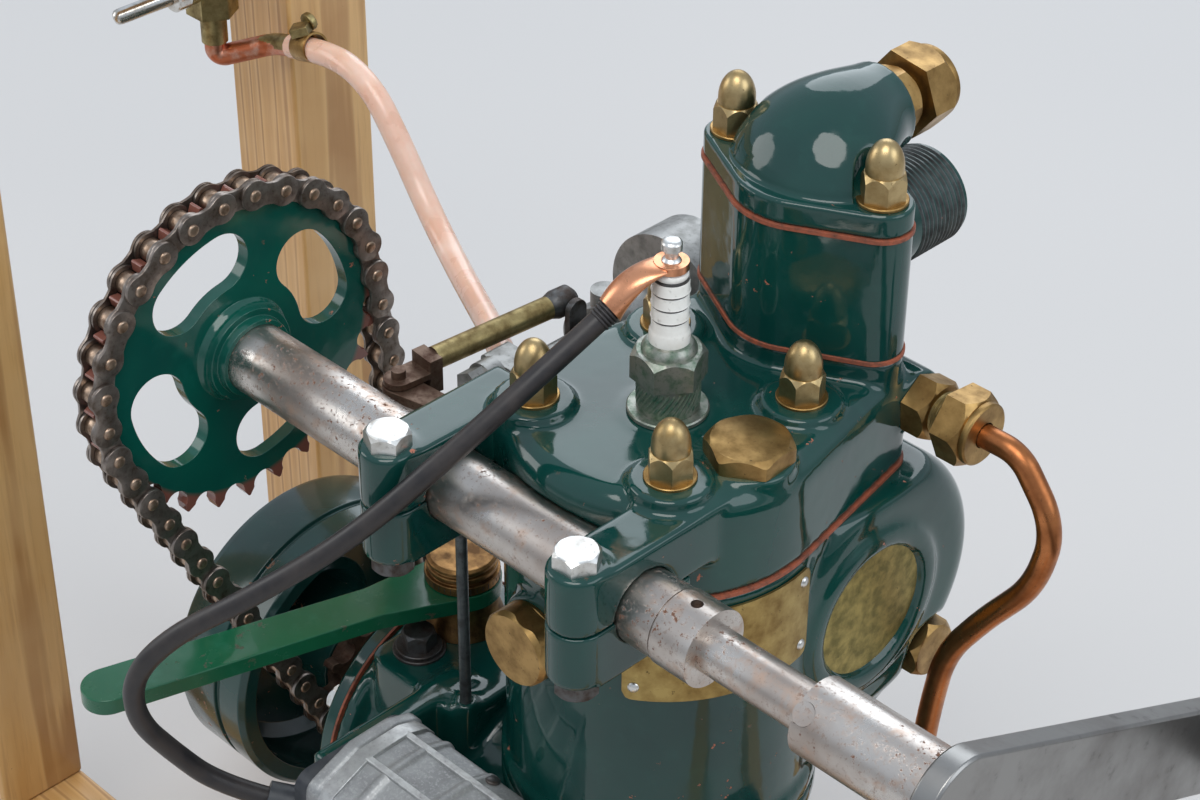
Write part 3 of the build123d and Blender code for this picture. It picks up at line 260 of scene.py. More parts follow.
def casting(name):
    """Sand-cast grey alloy with a pebbled skin and green paint specks."""
    s = Shader(name, (0.36, 0.37, 0.37), metallic=0.75, rough=0.5)
    s.layer(s.steps(s.noise(12, 5), 0.4, 0.7), (0.27, 0.275, 0.28), 0.58)
    s.layer(s.steps(s.noise(1.1, 5, 0.7), 0.5, 0.75), (0.48, 0.49, 0.49), 0.45)
    spots = s.math("MULTIPLY", s.steps(s.noise(1.8, 4), 0.7, 0.73), s.steps(s.noise(22, 2), 0.56, 0.6))
    s.layer(spots, (0.02, 0.12, 0.07), 0.4, 0.0)
    s.bump(s.noise(1.0, 5, 0.6), 0.4, 0.22)
    return s.done()


green = enamel("green_enamel", (0.004, 0.050, 0.040), (0.0025, 0.034, 0.030), (0.010, 0.070, 0.056), (0.42, 0.13, 0.07),
               0.67, 0.07)
lever_green = enamel("lever_green", (0.008, 0.115, 0.050), (0.006, 0.085, 0.040), (0.04, 0.19, 0.12),
                     (0.05, 0.06, 0.03), 0.62, 0.22)
dark_green = enamel("flywheel_green", (0.006, 0.050, 0.042), (0.010, 0.030, 0.027), (0.05, 0.075, 0.062),
                    (0.30, 0.11, 0.05), 0.64, 0.16)
steel = pitted_steel("pitted_steel", (0.60, 0.565, 0.53))
bolt_steel = plain("bolt_steel", (0.72, 0.72, 0.70), 1.0, 0.3, 6, (0.52, 0.50, 0.46), 0.42)
rusty_steel = plain("rusty_steel", (0.16, 0.105, 0.075), 0.8, 0.42, 4, (0.09, 0.045, 0.03), 0.7, depth=0.25)
dark_steel = plain("dark_steel", (0.12, 0.12, 0.12), 0.9, 0.42, 5, (0.07, 0.05, 0.04), 0.6)
chain_dark = plain("chain_dark", (0.27, 0.235, 0.21), 0.92, 0.33, 6, (0.105, 0.078, 0.06), 0.46, depth=0.2)
chain_tan = plain("chain_tan", (0.42, 0.31, 0.23), 0.95, 0.32, 3, (0.20, 0.125, 0.08), 0.46)
arm_steel = plain("arm_steel", (0.30, 0.295, 0.285), 1.0, 0.34, 26, (0.22, 0.21, 0.20), 0.42)
nut_brass = dull_brass("nut_brass", (0.50, 0.375, 0.19), (0.30, 0.20, 0.08), 0.52, 0.33, 7)
hex_bronze = dull_brass("hex_bronze", (0.46, 0.29, 0.11), (0.22, 0.13, 0.045), 0.46, 0.34, 8)
timer_bronze = dull_brass("timer_bronze", (0.36, 0.20, 0.075), (0.12, 0.062, 0.025), 0.42, 0.36, 6)
plug_green_brass = dull_brass("core_brass", (0.42, 0.33, 0.11), (0.20, 0.17, 0.06), 0.42, 0.4, 5)
plate_brass = dull_brass("plate_brass", (0.46, 0.34, 0.13), (0.24, 0.15, 0.05), 0.48, 0.38, 9)
rod_brass = dull_brass("rod_brass", (0.40, 0.32, 0.15), (0.17, 0.12, 0.05), 0.46, 0.4, 5)
copper = dull_brass("pipe_copper", (0.52, 0.20, 0.075), (0.27, 0.095, 0.035), 0.5, 0.27, 12)
red_copper = dull_brass("solder_copper", (0.50, 0.155, 0.075), (0.62, 0.42, 0.33), 0.55, 0.36, 5)
tag_copper = dull_brass("tag_copper", (0.78, 0.36, 0.20), (0.45, 0.17, 0.08), 0.58, 0.28, 6)
chrome = plain("worn_chrome", (0.78, 0.78, 0.76), 1.0, 0.14, 8, (0.5, 0.47, 0.42), 0.3)
iron_thread = plain("thread_iron", (0.10, 0.115, 0.115), 0.55, 0.42, 4, (0.05, 0.05, 0.05), 0.55)
gasket_red = plain("gasket_red", (0.33, 0.085, 0.04), 0.0, 0.62, 4, (0.14, 0.05, 0.03), 0.75, depth=0.3)
alloy = casting("cast_alloy")
rib_alloy = plain("rib_alloy", (0.52, 0.53, 0.52), 0.8, 0.4, 4, (0.38, 0.38, 0.38), 0.5)
black_plate = plain("black_plate", (0.022, 0.026, 0.034), 0.1, 0.4, 8, (0.05, 0.055, 0.06), 0.5)
rubber = plain("lead_rubber", (0.015, 0.013, 0.014), 0.0, 0.38, 9, (0.032, 0.026, 0.024), 0.5)
grip_black = plain("grip_black", (0.03, 0.028, 0.026), 0.0, 0.5, 9)
ceramic = plain("plug_ceramic", (0.80, 0.79, 0.74), 0.0, 0.16, 9, (0.70, 0.68, 0.62), 0.2, coat=0.6, depth=0.02)
plug_grey = plain("plug_shell", (0.34, 0.35, 0.31), 0.85, 0.38, 3.5, (0.12, 0.19, 0.13), 0.5, depth=0.2)
knurl_green = plain("plug_knurl", (0.16, 0.20, 0.15), 0.6, 0.45, 2.5, (0.035, 0.12, 0.075), 0.5, depth=0.3)
carb_grey = plain("carburettor_grey", (0.33, 0.33, 0.32), 0.8, 0.42, 6, (0.20, 0.20, 0.19), 0.5)


def clear_hose():
    """Cloudy pink hose with fuel stains."""
    s = Shader("hose_pink", (0.78, 0.47, 0.34), rough=0.26, coat=0.4)
    s.layer(s.steps(s.noise(18, 4), 0.4, 0.7), (0.86, 0.62, 0.50), 0.34)
    s.bsdf.inputs["Subsurface Weight"].default_value = 0.35
    s.bsdf.inputs["Subsurface Radius"].default_value = (0.004, 0.002, 0.0015)
    s.bump(s.noise(10, 3), 0.2, 0.2)
    return s.done()


def sprocket_paint():
    """The enamel of the big sprocket, worn to red and bare steel on the teeth."""
    mat = enamel("sprocket_green", (0.004, 0.085, 0.060), (0.003, 0.055, 0.043), (0.012, 0.12, 0.09), (0.40, 0.12, 0.06))
    tree = mat.node_tree
    bsdf = tree.nodes["Principled BSDF"]
    place = tree.nodes.new("ShaderNodeTexCoord").outputs["Object"]
    centred = tree.nodes.new("ShaderNodeVectorMath")
    centred.operation = "MULTIPLY_ADD"
    centred.inputs[1].default_value = (0, 1, 1)
    centred.inputs[2].default_value = (0, -START[1] * MM, -START[2] * MM)
    tree.links.new(place, centred.inputs[0])
    far = tree.nodes.new("ShaderNodeVectorMath")
    far.operation = "LENGTH"
    tree.links.new(centred.outputs[0], far.inputs[0])
    ramp = tree.nodes.new("ShaderNodeMapRange")
    ramp.inputs["From Min"].default_value = 0.0525
    ramp.inputs["From Max"].default_value = 0.0545
    tree.links.new(far.outputs["Value"], ramp.inputs["Value"])
    mix = tree.nodes.new("ShaderNodeMix")
    mix.data_type = "RGBA"
    tree.links.new(ramp.outputs[0], mix.inputs[0])
    tree.links.new(bsdf.inputs["Base Color"].links[0].from_socket, mix.inputs[6])
    mix.inputs[7].default_value = (0.20, 0.075, 0.055, 1)
    tree.links.new(mix.outputs[2], bsdf.inputs["Base Color"])
    return mat


# Mesh tools

def add(name, verts, faces, mat, body, smooth=True, sharp=35, bevel=0.0):
    """A mesh piece in millimetres that rides on a body."""
    mesh = bpy.data.meshes.new(name)
    mesh.from_pydata([tuple(c * MM for c in v) for v in verts], [], faces)
    bm = bmesh.new()
    bm.from_mesh(mesh)
    bmesh.ops.recalc_face_normals(bm, faces=bm.faces)
    bm.to_mesh(mesh)
    bm.free()
    return dress(bpy.data.objects.new(name, mesh), mat, body, smooth, sharp, bevel)


def dress(obj, mat, body, smooth=True, sharp=35, bevel=0.0, segments=2):
    if obj.name not in scene.collection.objects:
        scene.collection.objects.link(obj)
    obj.data.materials.clear()
    obj.data.materials.append(mat)
    if smooth:
        obj.data.shade_smooth()
        obj.data.set_sharp_from_angle(angle=radians(sharp))
    if bevel:
        rounding = obj.modifiers.new("rounding", "BEVEL")
        rounding.width = bevel * MM
        rounding.segments = segments
        rounding.limit_method = "ANGLE"
        rounding.angle_limit = radians(32)
        rounding.harden_normals = True
    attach(obj, body)
    return obj


def placed(at, direction=(0, 0, 1), turn=0.0):
    """Matrix that stands local Z along a direction at a point, turned about it by degrees."""
    spin = Vector(direction).normalized().to_track_quat("Z", "Y").to_matrix().to_4x4()
    return Matrix.Translation(Vector(at)) @ spin @ Matrix.Rotation(radians(turn), 4, "Z")


def lathe(name, profile, at, direction, mat, body, n=48, sharp=30):
    """Turned piece from (radius, height) points."""
    m = placed(at, direction)
    verts, faces, rings = [], [], []
    for r, h in profile:
        if r < 1e-6:
            rings.append([len(verts)])
            verts.append(m @ Vector((0, 0, h)))
        else:
            rings.append(list(range(len(verts), len(verts) + n)))
            verts += [m @ Vector((r * cos(2 * pi * i / n), r * sin(2 * pi * i / n), h)) for i in range(n)]
    for a, b in zip(rings, rings[1:]):
        for i in range(n):
            j = (i + 1) % n
            ring = [a[i % len(a)], a[j % len(a)], b[j % len(b)], b[i % len(b)]]
            faces.append(list(dict.fromkeys(ring)))
    faces = [f for f in faces if len(f) > 2]
    return add(name, verts, faces, mat, body, True, sharp)


def prism(name, outline, h0, h1, m, mat, body, bevel=0.3, smooth=True):
    """Outline in local XY made solid from h0 to h1."""
    n = len(outline)
    verts = [m @ Vector((x, y, h0)) for x, y in outline] + [m @ Vector((x, y, h1)) for x, y in outline]
    faces = [list(range(n))[::-1], list(range(n, 2 * n))]
    faces += [[i, (i + 1) % n, n + (i + 1) % n, n + i] for i in range(n)]
    return add(name, verts, faces, mat, body, smooth, 35, bevel)


def join(name, parts):
    """Several pieces of one body and material made one, modifiers applied."""
    graph = bpy.context.evaluated_depsgraph_get()
    bm = bmesh.new()
    for part in parts:
        done = part.evaluated_get(graph)
        mesh = done.to_mesh()
        mesh.transform(done.matrix_world)
        bm.from_mesh(mesh)
        done.to_mesh_clear()
    body = parts[0]["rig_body"]
    mat = parts[0].data.materials[0]
    mesh = bpy.data.meshes.new(name)
    bm.to_mesh(mesh)
    bm.free()
    for part in parts:
        bpy.data.objects.remove(part)
    made = dress(bpy.data.objects.new(name, mesh), mat, body, True, 35)
    return made


def hexagon(af):
    return [(af / sqrt(3) * cos(pi / 6 + i * pi / 3), af / sqrt(3) * sin(pi / 6 + i * pi / 3)) for i in range(6)]


def hex_head(name, af, height, at, direction, mat, body, turn=0.0, crown=0.12, limit=9.0):
    """Hexagon head with the round chamfer that turning leaves on its corners; limit turns them off."""
    r_in, r_out = af / 2, af / sqrt(3)
    n = 72
    m = placed(at, direction, turn)
    verts, faces = [], []

    def ring(radius_of, h_of):
        start = len(verts)
        for i in range(n):
            a = 2 * pi * i / n
            r = radius_of(a)
            verts.append(m @ Vector((r * cos(a), r * sin(a), h_of(r))))
        return list(range(start, start + n))

    def hexr(a):
        return min(r_in / cos((a + pi / 6) % (pi / 3) - pi / 6), r_in * limit)

    drop = height * crown * 2
    low = ring(hexr, lambda r: 0.0)
    high = ring(hexr, lambda r: height - drop * max(0.0, (r - r_in * 0.99) / (r_out - r_in)))
    rim = ring(lambda a: r_in * 0.955, lambda r: height)
    for a, b in ((low, high), (high, rim)):
        faces += [[a[i], a[(i + 1) % n], b[(i + 1) % n], b[i]] for i in range(n)]
    faces += [low[::-1], rim]
    return add(name, verts, faces, mat, body, True, 28)


def washer(name, r, hole, thick, at, direction, mat, body):
    b = min(0.25, thick / 4)
    return lathe(name, [(hole, 0), (r - b, 0), (r, b), (r, thick - b), (r - b, thick), (hole, thick)], at,
                 direction, mat, body, 40)


def acorn(name, at, body, turn=0.0, af=14.0, dome=6.3, height=8.6, top=20.5):
    """Domed brass nut on its washer."""
    x, y, z = at
    ring = washer(name + "_washer", af * 0.64, 3, 1.3, at, (0, 0, 1), hex_bronze, body)
    hexa = hex_head(name + "_hex", af, height, (x, y, z + 1.2), (0, 0, 1), nut_brass, body, turn)
    neck = z + 1.2 + height
    straight = 2.4
    rise = top - height - 1.2 + 0.6 - straight
    profile = [(dome * 0.97, -0.4), (dome, 0.2), (dome, straight)]
    profile += [(dome * cos(radians(a)), straight + rise * sin(radians(a))) for a in range(9, 90, 9)]
    profile.append((0, straight + rise))
    cap = lathe(name + "_dome", profile, (x, y, neck - 0.6), (0, 0, 1), nut_brass, body, 40, 40)
    return join(name, [hexa, cap]), ring


def copy_mesh(node, name):
    mesh = frame["nodes"][node].data.copy()
    mesh.name = name
    bm = bmesh.new()
    bm.from_mesh(mesh)
    bmesh.ops.remove_doubles(bm, verts=bm.verts, dist=1e-6)
    bmesh.ops.dissolve_limit(bm, angle_limit=radians(0.8), verts=bm.verts, edges=bm.edges)
    bm.to_mesh(mesh)
    bm.free()
    for layer in ("custom_normal", "sharp_edge"):
        if layer in mesh.attributes:
            mesh.attributes.remove(mesh.attributes[layer])
    return mesh


def soften(node, mat, bevel=0.4, name=None, sharp=35):
    """The CAD solid again with its hard edges rounded off."""
    mesh = copy_mesh(node, name or node + "_look")
    obj = dress(bpy.data.objects.new(name or node + "_look", mesh), mat, body_by_node[node], True, sharp, bevel, 3)
    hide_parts(node)
    return obj


def repaint(obj, mat, inside):
    """Another material on the faces whose middle, in millimetres, passes a test."""
    obj.data.materials.append(mat)
    slot = len(obj.data.materials) - 1
    for face in obj.data.polygons:
        if inside(*(face.center / MM)):
            face.material_index = slot
    return obj


def turned_about(obj, axis_point, degrees_round):
    """Turn a mesh about a line along X."""
    y, z = axis_point[1] * MM, axis_point[2] * MM
    shift = Matrix.Translation((0, y, z))
    obj.data.transform(shift @ Matrix.Rotation(radians(degrees_round), 4, "X") @ shift.inverted())


def cast_skin(nodes, name, mat, voxel=0.9, smooth=12, factor=0.5):
    """The CAD solids as one casting, with the soft inside and outside corners that a mould gives."""
    parts = [bpy.data.objects.new(f"{name}_{i}", copy_mesh(n, f"{name}_{i}")) for i, n in enumerate(nodes)]
    bm = bmesh.new()
    for part in parts:
        bm.from_mesh(part.data)
        bpy.data.objects.remove(part)
    mesh = bpy.data.meshes.new(name)
    bm.to_mesh(mesh)
    bm.free()
    obj = bpy.data.objects.new(name, mesh)
    scene.collection.objects.link(obj)
    remesh = obj.modifiers.new("mould", "REMESH")
    remesh.mode = "VOXEL"
    remesh.voxel_size = voxel * MM
    relax = obj.modifiers.new("relax", "SMOOTH")
    relax.factor = factor
    relax.iterations = smooth
    graph = bpy.context.evaluated_depsgraph_get()
    made = bpy.data.meshes.new_from_object(obj.evaluated_get(graph), depsgraph=graph)
    bpy.data.objects.remove(obj)
    made.name = name
    obj = dress(bpy.data.objects.new(name, made), mat, body_by_node[nodes[0]], True, 180)
    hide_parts(*nodes)
    return obj


def spline(name, points, radius, mat, body):
    """A cord: one smooth NURBS line through its route, with a round section."""
    curve = bpy.data.curves.new(name, "CURVE")
    curve.dimensions = "3D"
    curve.resolution_u = 16
    curve.bevel_depth = radius * MM
    curve.bevel_resolution = 5
    curve.use_fill_caps = True
    line = curve.splines.new("NURBS")
    line.points.add(len(points) - 1)
    for p, (x, y, z) in zip(line.points, points):
        p.co = (x * MM, y * MM, z * MM, 1)
    line.order_u = 3
    line.use_endpoint_u = True
    obj = bpy.data.objects.new(name, curve)
    scene.collection.objects.link(obj)
    curve.materials.append(mat)
    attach(obj, body)
    return obj


# Sizes shared with the model

START = (0.0, -55.0, 323.4225)
CRANK_Z = 150.0
CHAIN_X = -143.5
PIN_TURN = 50.0
hose_pink = clear_hose()
sprocket_green = sprocket_paint()

# Cords

lead_points = [
    (-6.2, -19.3, 385.4), (-12.5, -42.0, 370.0), (-23.3, -68.7, 348.7), (-41.4, -93.8, 320.4),
    (-64.6, -115.5, 296.8), (-84.5, -131.5, 279.5), (-95.0, -141.5, 262.0), (-97.0, -140.5, 242.0),
    (-95.0, -129.0, 222.0), (-90.0, -117.0, 204.0), (-78.0, -106.0, 198.5),
]
hose_points = [
    (-250.0, 58.6, 352.6), (-226.0, 57.6, 359.5), (-203.0, 56.4, 355.5), (-187.0, 55.5, 338.0),
    (-171.0, 53.5, 319.5), (-147.0, 44.5, 311.0), (-119.0, 30.0, 312.5), (-98.0, 18.5, 315.5),
    (-84.0, 9.5, 317.0),
]
lead = spline("ignition_lead_rubber", lead_points, 3.5, rubber, "engine")
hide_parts("ignition_lead")
hose = spline("fuel_hose_tube", hose_points, 4.65, hose_pink, "engine")
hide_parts("fuel_hose")

# Castings: one skin each, with soft corners

cast_skin(["cylinder"], "cylinder_casting", green, 1.25, 11)
cast_skin(["cylinder_head"], "head_casting", green, 0.95, 13)
cast_skin(["crankcase"], "crankcase_casting", green, 1.35, 10)


def convex(points):
    """Outline round a set of points, anticlockwise."""
    points = sorted(set(points))
    halves = []
    for run in (points, points[::-1]):
        half = []
        for q in run:
            while len(half) > 1 and ((half[-1][0] - half[-2][0]) * (q[1] - half[-2][1])
                                     - (half[-1][1] - half[-2][1]) * (q[0] - half[-2][0])) <= 0:
                half.pop()
            half.append(q)
        halves += half[:-1]
    return halves


def riser_cap():
    """Stud flange that swells into a smooth elbow, with a round seat cut for each nut."""
    circles = ((-30, 60, 10), (30, 60, 10), (0, 60, 24))
    rim = convex([(round(x + r * cos(radians(a)), 3), round(y + r * sin(radians(a)), 3))
                  for x, y, r in circles for a in range(0, 360, 6)])
    n = len(rim)
    verts = [(x, y, 397.6) for x, y in rim] + [(x, y, 405.5) for x, y in rim]
    faces = [list(range(n))[::-1], list(range(n, 2 * n))]
    faces += [[i, (i + 1) % n, n + (i + 1) % n, n + i] for i in range(n)]
    around, steps = 64, 24
    first = len(verts)
    for k in range(-2, steps + 1):
        t = max(0.0, k / steps)
        soft = t * t * (3 - 2 * t)
        lean = radians(90 * t)
        far = 33.0 + (14.5 - 33.0) * soft
        deep = 20.0 + (15.0 - 20.0) * sin(lean) ** 0.7
        wide = 27.5 + (15.2 - 27.5) * soft
        sink = 2.5 * min(0, k)
        for i in range(around):
            a = 2 * pi * i / around
            reach = far + deep * cos(a)
            verts.append((wide * sin(a), 93 - reach * cos(lean), 398.5 + reach * sin(lean) + 3 * (1 - t) + sink))
    rows = steps + 3
    for k in range(rows - 1):
        a, b = first + k * around, first + (k + 1) * around
        faces += [[a + i, a + (i + 1) % around, b + (i + 1) % around, b + i] for i in range(around)]
    faces.append([first + i for i in range(around)])
    faces.append([first + (rows - 1) * around + i for i in range(around)][::-1])
    raw = add("riser_cap_raw", verts, faces, green, "engine", False)
    raw.parent = None
    skin = skin_over(raw, 0.6, 6)
    bm = bmesh.new()
    bm.from_mesh(skin)
    for v in bm.verts:
        x, y, z = v.co / MM
        for cx in (-30, 30):
            d = hypot(x - cx, y - 60)
            if z > 405.4 and d < 9.2:
                if d > 4.5:
                    x, y = cx + (x - cx) * 9.2 / d, 60 + (y - 60) * 9.2 / d
                else:
                    z = 405.5
        floor_cut = max(z, 397.55)
        v.co = Vector((x, y, floor_cut)) * MM
    for k in range(3):
        bmesh.ops.smooth_vert(bm, verts=bm.verts, factor=0.4, use_axis_x=True, use_axis_y=True, use_axis_z=True)
    bm.to_mesh(skin)
    bm.free()
    obj = dress(bpy.data.objects.new("riser_cap_casting", skin), green, "engine", True, 180)
    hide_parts("riser_cap")


def skin_over(obj, voxel, smooth, factor=0.5):
    """Voxel skin of an object as a new mesh; the object goes."""
    remesh = obj.modifiers.new("mould", "REMESH")
    remesh.mode = "VOXEL"
    remesh.voxel_size = voxel * MM
    relax = obj.modifiers.new("relax", "SMOOTH")
    relax.factor = factor
    relax.iterations = smooth
    graph = bpy.context.evaluated_depsgraph_get()
    made = bpy.data.meshes.new_from_object(obj.evaluated_get(graph), depsgraph=graph)
    bpy.data.objects.remove(obj)
    return made


riser_cap()
cast_skin(["chain_end_bearing_cap"], "chain_end_cap_casting", green, 0.6, 8)
cast_skin(["handle_end_bearing_cap"], "handle_end_cap_casting", green, 0.6, 8)
cast_skin(["magneto_body"], "magneto_casting", alloy, 0.8, 5)
soften("exhaust_riser", green, 0.8)
soften("crankcase_cover", green, 0.6)
soften("gaskets", gasket_red, 0.12)
soften("magneto_end_cover", black_plate, 0.5)
soften("timing_body", timer_bronze, 0.3)
soften("timing_lever", lever_green, 1.1)
soften("carburettor", carb_grey, 0.4)
plug_heads = [
    hex_head("head_hexagon_plug", 25, 6.0, (36, -2.3, 345.9), (0, 0, 1), hex_bronze, "engine", 3, 0.16, 1.13),
    washer("front_plug_washer", 13, 6, 1.5, (-5, -52.4, 280), (0, -1, 0), hex_bronze, "engine"),
    hex_head("front_round_plug", 25.4, 8.0, (-5, -53.8, 280), (0, -1, 0), hex_bronze, "engine", 14, 0.3, 1.045),
    hex_head("low_chest_plug", 19, 8.0, (43.9, 79, 231), (1, 0, 0), hex_bronze, "engine", 8, 0.14),
]
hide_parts("hex_plugs")
soften("core_plug", plug_green_brass, 0.3)
soften("water_pipe", copper, 0.0, sharp=60)
repaint(soften("fuel_tap", rod_brass, 0.0), red_copper, lambda x, y, z: z < 351.5)
lever_at = (-278, 31.7, 374)
lever = join("fuel_tap_bar_lever", [
    lathe("tap_bar", [(0.5, -1), (2.9, -0.6), (3.0, 0.2), (3.0, 22.6), (2.7, 23.8), (1.8, 24.7), (0, 25)],
          (-278, 28.7, 374), (-0.35, -0.93, -0.2), chrome, "fuel_tap_lever", 36, 40),
    lathe("tap_bar_boss", [(1, 0), (5.6, 0), (6, 0.4), (6, 5.4), (5.4, 6), (0, 6.1)], lever_at, (0, -1, 0), chrome,
          "fuel_tap_lever", 40, 40),
    lathe("tap_bar_spindle", [(3, -8.2), (3, 0.2)], lever_at, (0, -1, 0), chrome, "fuel_tap_lever", 32, 40),
])
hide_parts("fuel_tap_lever")
soften("plug_clip", tag_copper, 0.25)
soften("start_sprocket", sprocket_green, 0.35)
soften("crank_sprocket", rusty_steel, 0.25)
soften("flywheel", dark_green, 0.4)
soften("crankshaft", dark_steel, 0.4)
soften("start_tube", steel, 0.25)
for piece in (soften("drive_shaft", steel, 0.25), soften("handle_socket", steel, 0.35)):
    turned_about(piece, START, PIN_TURN)
soften("handle_arm", arm_steel, 0.3)
soften("handle_grip", grip_black, 0.3)
soften("control_spindle", iron_thread, 0.15)
soften("control_crank", rusty_steel, 0.25)
rod = soften("throttle_rod", rod_brass, 0.25)
repaint(rod, rusty_steel, lambda x, y, z: y < -20.5)
repaint(rod, dark_steel, lambda x, y, z: y > 25.5)
soften("throttle_lever", dark_steel, 0.25)
for node, along in (("front_rail", 0), ("rear_rail", 0), ("front_post", 2), ("rear_post", 2),
                    ("cross_bearers", 1), ("post_top_rail", 1)):
    soften(node, timber(node + "_wood", along), 1.6)

# Starting chain


def chain_points():
    """Roller centres as (y, z) round both sprockets, in the order that the model uses."""
    pitch = 12.7
    r1, r2 = pitch / (2 * sin(pi / 28)), pitch / (2 * sin(pi / 14))
    a1, a2 = 16 * pi / 28, 6 * pi / 14
    run = sqrt((14 * pitch) ** 2 - (r1 * sin(a1) - r2 * sin(a2)) ** 2)
    reach = run - r1 * cos(a1) - r2 * cos(a2)
    tilt = atan2(CRANK_Z - START[2], -START[1])
    local = [(-r1 * cos(a1 - i * 2 * pi / 28), r1 * sin(a1 - i * 2 * pi / 28)) for i in range(17)]
    (u0, v0), (u1, v1) = local[-1], (reach + r2 * cos(a2), -r2 * sin(a2))
    local += [(u0 + i / 14 * (u1 - u0), v0 + i / 14 * (v1 - v0)) for i in range(1, 14)]
    local += [(reach + r2 * cos(-a2 + i * 2 * pi / 14), r2 * sin(-a2 + i * 2 * pi / 14)) for i in range(7)]
    (u0, v0), (u1, v1) = local[-1], local[0]
    local += [(u0 + i / 14 * (u1 - u0), v0 + i / 14 * (v1 - v0)) for i in range(1, 14)]
    c, s = cos(tilt), sin(tilt)
    return [(START[1] + u * c - v * s, START[2] + u * s + v * c) for u, v in local]


def plate_outline():
    """Figure of eight: two round ends with a waist between them."""
    end, pitch, waist = 5.3, 12.7, 3.75
    right_end = [(pitch + end * cos(radians(a)), end * sin(radians(a))) for a in range(-114, 115, 12)]
    left_end = [(end * cos(radians(a)), end * sin(radians(a))) for a in range(66, 295, 12)]
    top = [(pitch * t, waist + (end * sin(radians(66)) - waist) * (2 * t - 1) ** 2) for t in (0.66, 0.5, 0.34)]
    low = [(x, -y) for x, y in reversed(top)]
    return right_end + top + left_end + low


def link_frame(p, q):
    """Local X from pin to pin, local Z along the world's X."""
    a = atan2(q[1] - p[1], q[0] - p[0])
    return Matrix(((0, 0, 1, CHAIN_X), (cos(a), -sin(a), 0, p[0]), (sin(a), cos(a), 0, p[1]), (0, 0, 0, 1)))


def raised_plate(verts, faces, outline, low, high, m):
    """Plate whose upper edge is rounded off in two steps."""
    n = len(outline)
    cx = sum(x for x, y in outline) / n
    rings = []
    step = 0.3 if high > low else -0.3
    for inset, h in ((0.0, low), (0.0, high - step), (0.12, high - step * 0.3), (0.4, high)):
        rings.append(range(len(verts), len(verts) + n))
        for i, (x, y) in enumerate(outline):
            (xa, ya), (xb, yb) = outline[i - 1], outline[(i + 1) % n]
            nx, ny = yb - ya, xa - xb
            size = hypot(nx, ny) or 1
            verts.append(m @ Vector((x - inset * nx / size, y - inset * ny / size, h)))
    for a, b in zip(rings, rings[1:]):
        faces.extend([a[i], a[(i + 1) % n], b[(i + 1) % n], b[i]] for i in range(n))
    faces.append(list(rings[0])[::-1])
    faces.append(list(rings[-1]))


def turned(verts, faces, profile, m, n=20):
    start = len(verts)
    for r, h in profile:
        verts.extend(m @ Vector((r * cos(2 * pi * i / n), r * sin(2 * pi * i / n), h)) for i in range(n))
    for k in range(len(profile) - 1):
        a, b = start + k * n, start + (k + 1) * n
        faces.extend([a + i, a + (i + 1) % n, b + (i + 1) % n, b + i] for i in range(n))
    faces.append([start + i for i in range(n)][::-1])
    faces.append([start + (len(profile) - 1) * n + i for i in range(n)])


def chain():
    points = chain_points()
    outline = plate_outline()
    inner, outer, rivets, rollers = ([], []), ([], []), ([], []), ([], [])
    for i, p in enumerate(points):
        m = link_frame(p, points[(i + 1) % len(points)])
        if i % 2 == 0:
            for side in (1, -1):
                raised_plate(*inner, outline, side * 2.8, side * 4.03, m)
            for end in (0, 12.7):
                turned(*rollers, [(3.2, -2.7), (3.7, -2.65), (3.93, -2.3), (3.93, 2.3), (3.7, 2.65), (3.2, 2.7)],
                       m @ Matrix.Translation((end, 0, 0)), 24)
        else:
            for side in (1, -1):
                raised_plate(*outer, outline, side * 4.12, side * 5.4, m)
            for end in (0, 12.7):
                turned(*rivets, [(1.4, -6.15), (1.85, -6.0), (2.1, -5.75), (2.15, -5.3), (2.15, 5.3), (2.1, 5.75),
                                 (1.85, 6.0), (1.4, 6.15)], m @ Matrix.Translation((end, 0, 0)))
    for name, data, mat, nodes in (("chain_inner_plates", inner, chain_dark, ["chain_inner_links"]),
                                   ("chain_outer_link_plates", outer, chain_dark, ["chain_outer_plates"]),
                                   ("chain_rivets", rivets, chain_tan, []),
                                   ("chain_tan_rollers", rollers, chain_tan, ["chain_rollers"])):
        piece = add(name, *data, mat, "engine", True, 40)
        if nodes:
            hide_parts(*nodes)


chain()

def ring_thread(name, radius, depth, start, end, pitch, axis_at, direction, mat, body):
    """Thread shown as close rings between two heights along an axis."""
    profile = [(radius - depth - 0.6, start)]
    h = start
    while h + pitch <= end:
        profile += [(radius - depth, h), (radius, h + pitch * 0.42), (radius, h + pitch * 0.58),
                    (radius - depth, h + pitch)]
        h += pitch
    profile.append((radius - depth - 0.6, h))
    return lathe(name, profile, axis_at, direction, mat, body, 72, 25)


# Pipe unions: fitting hexagon, threaded neck, nut with its turned collar


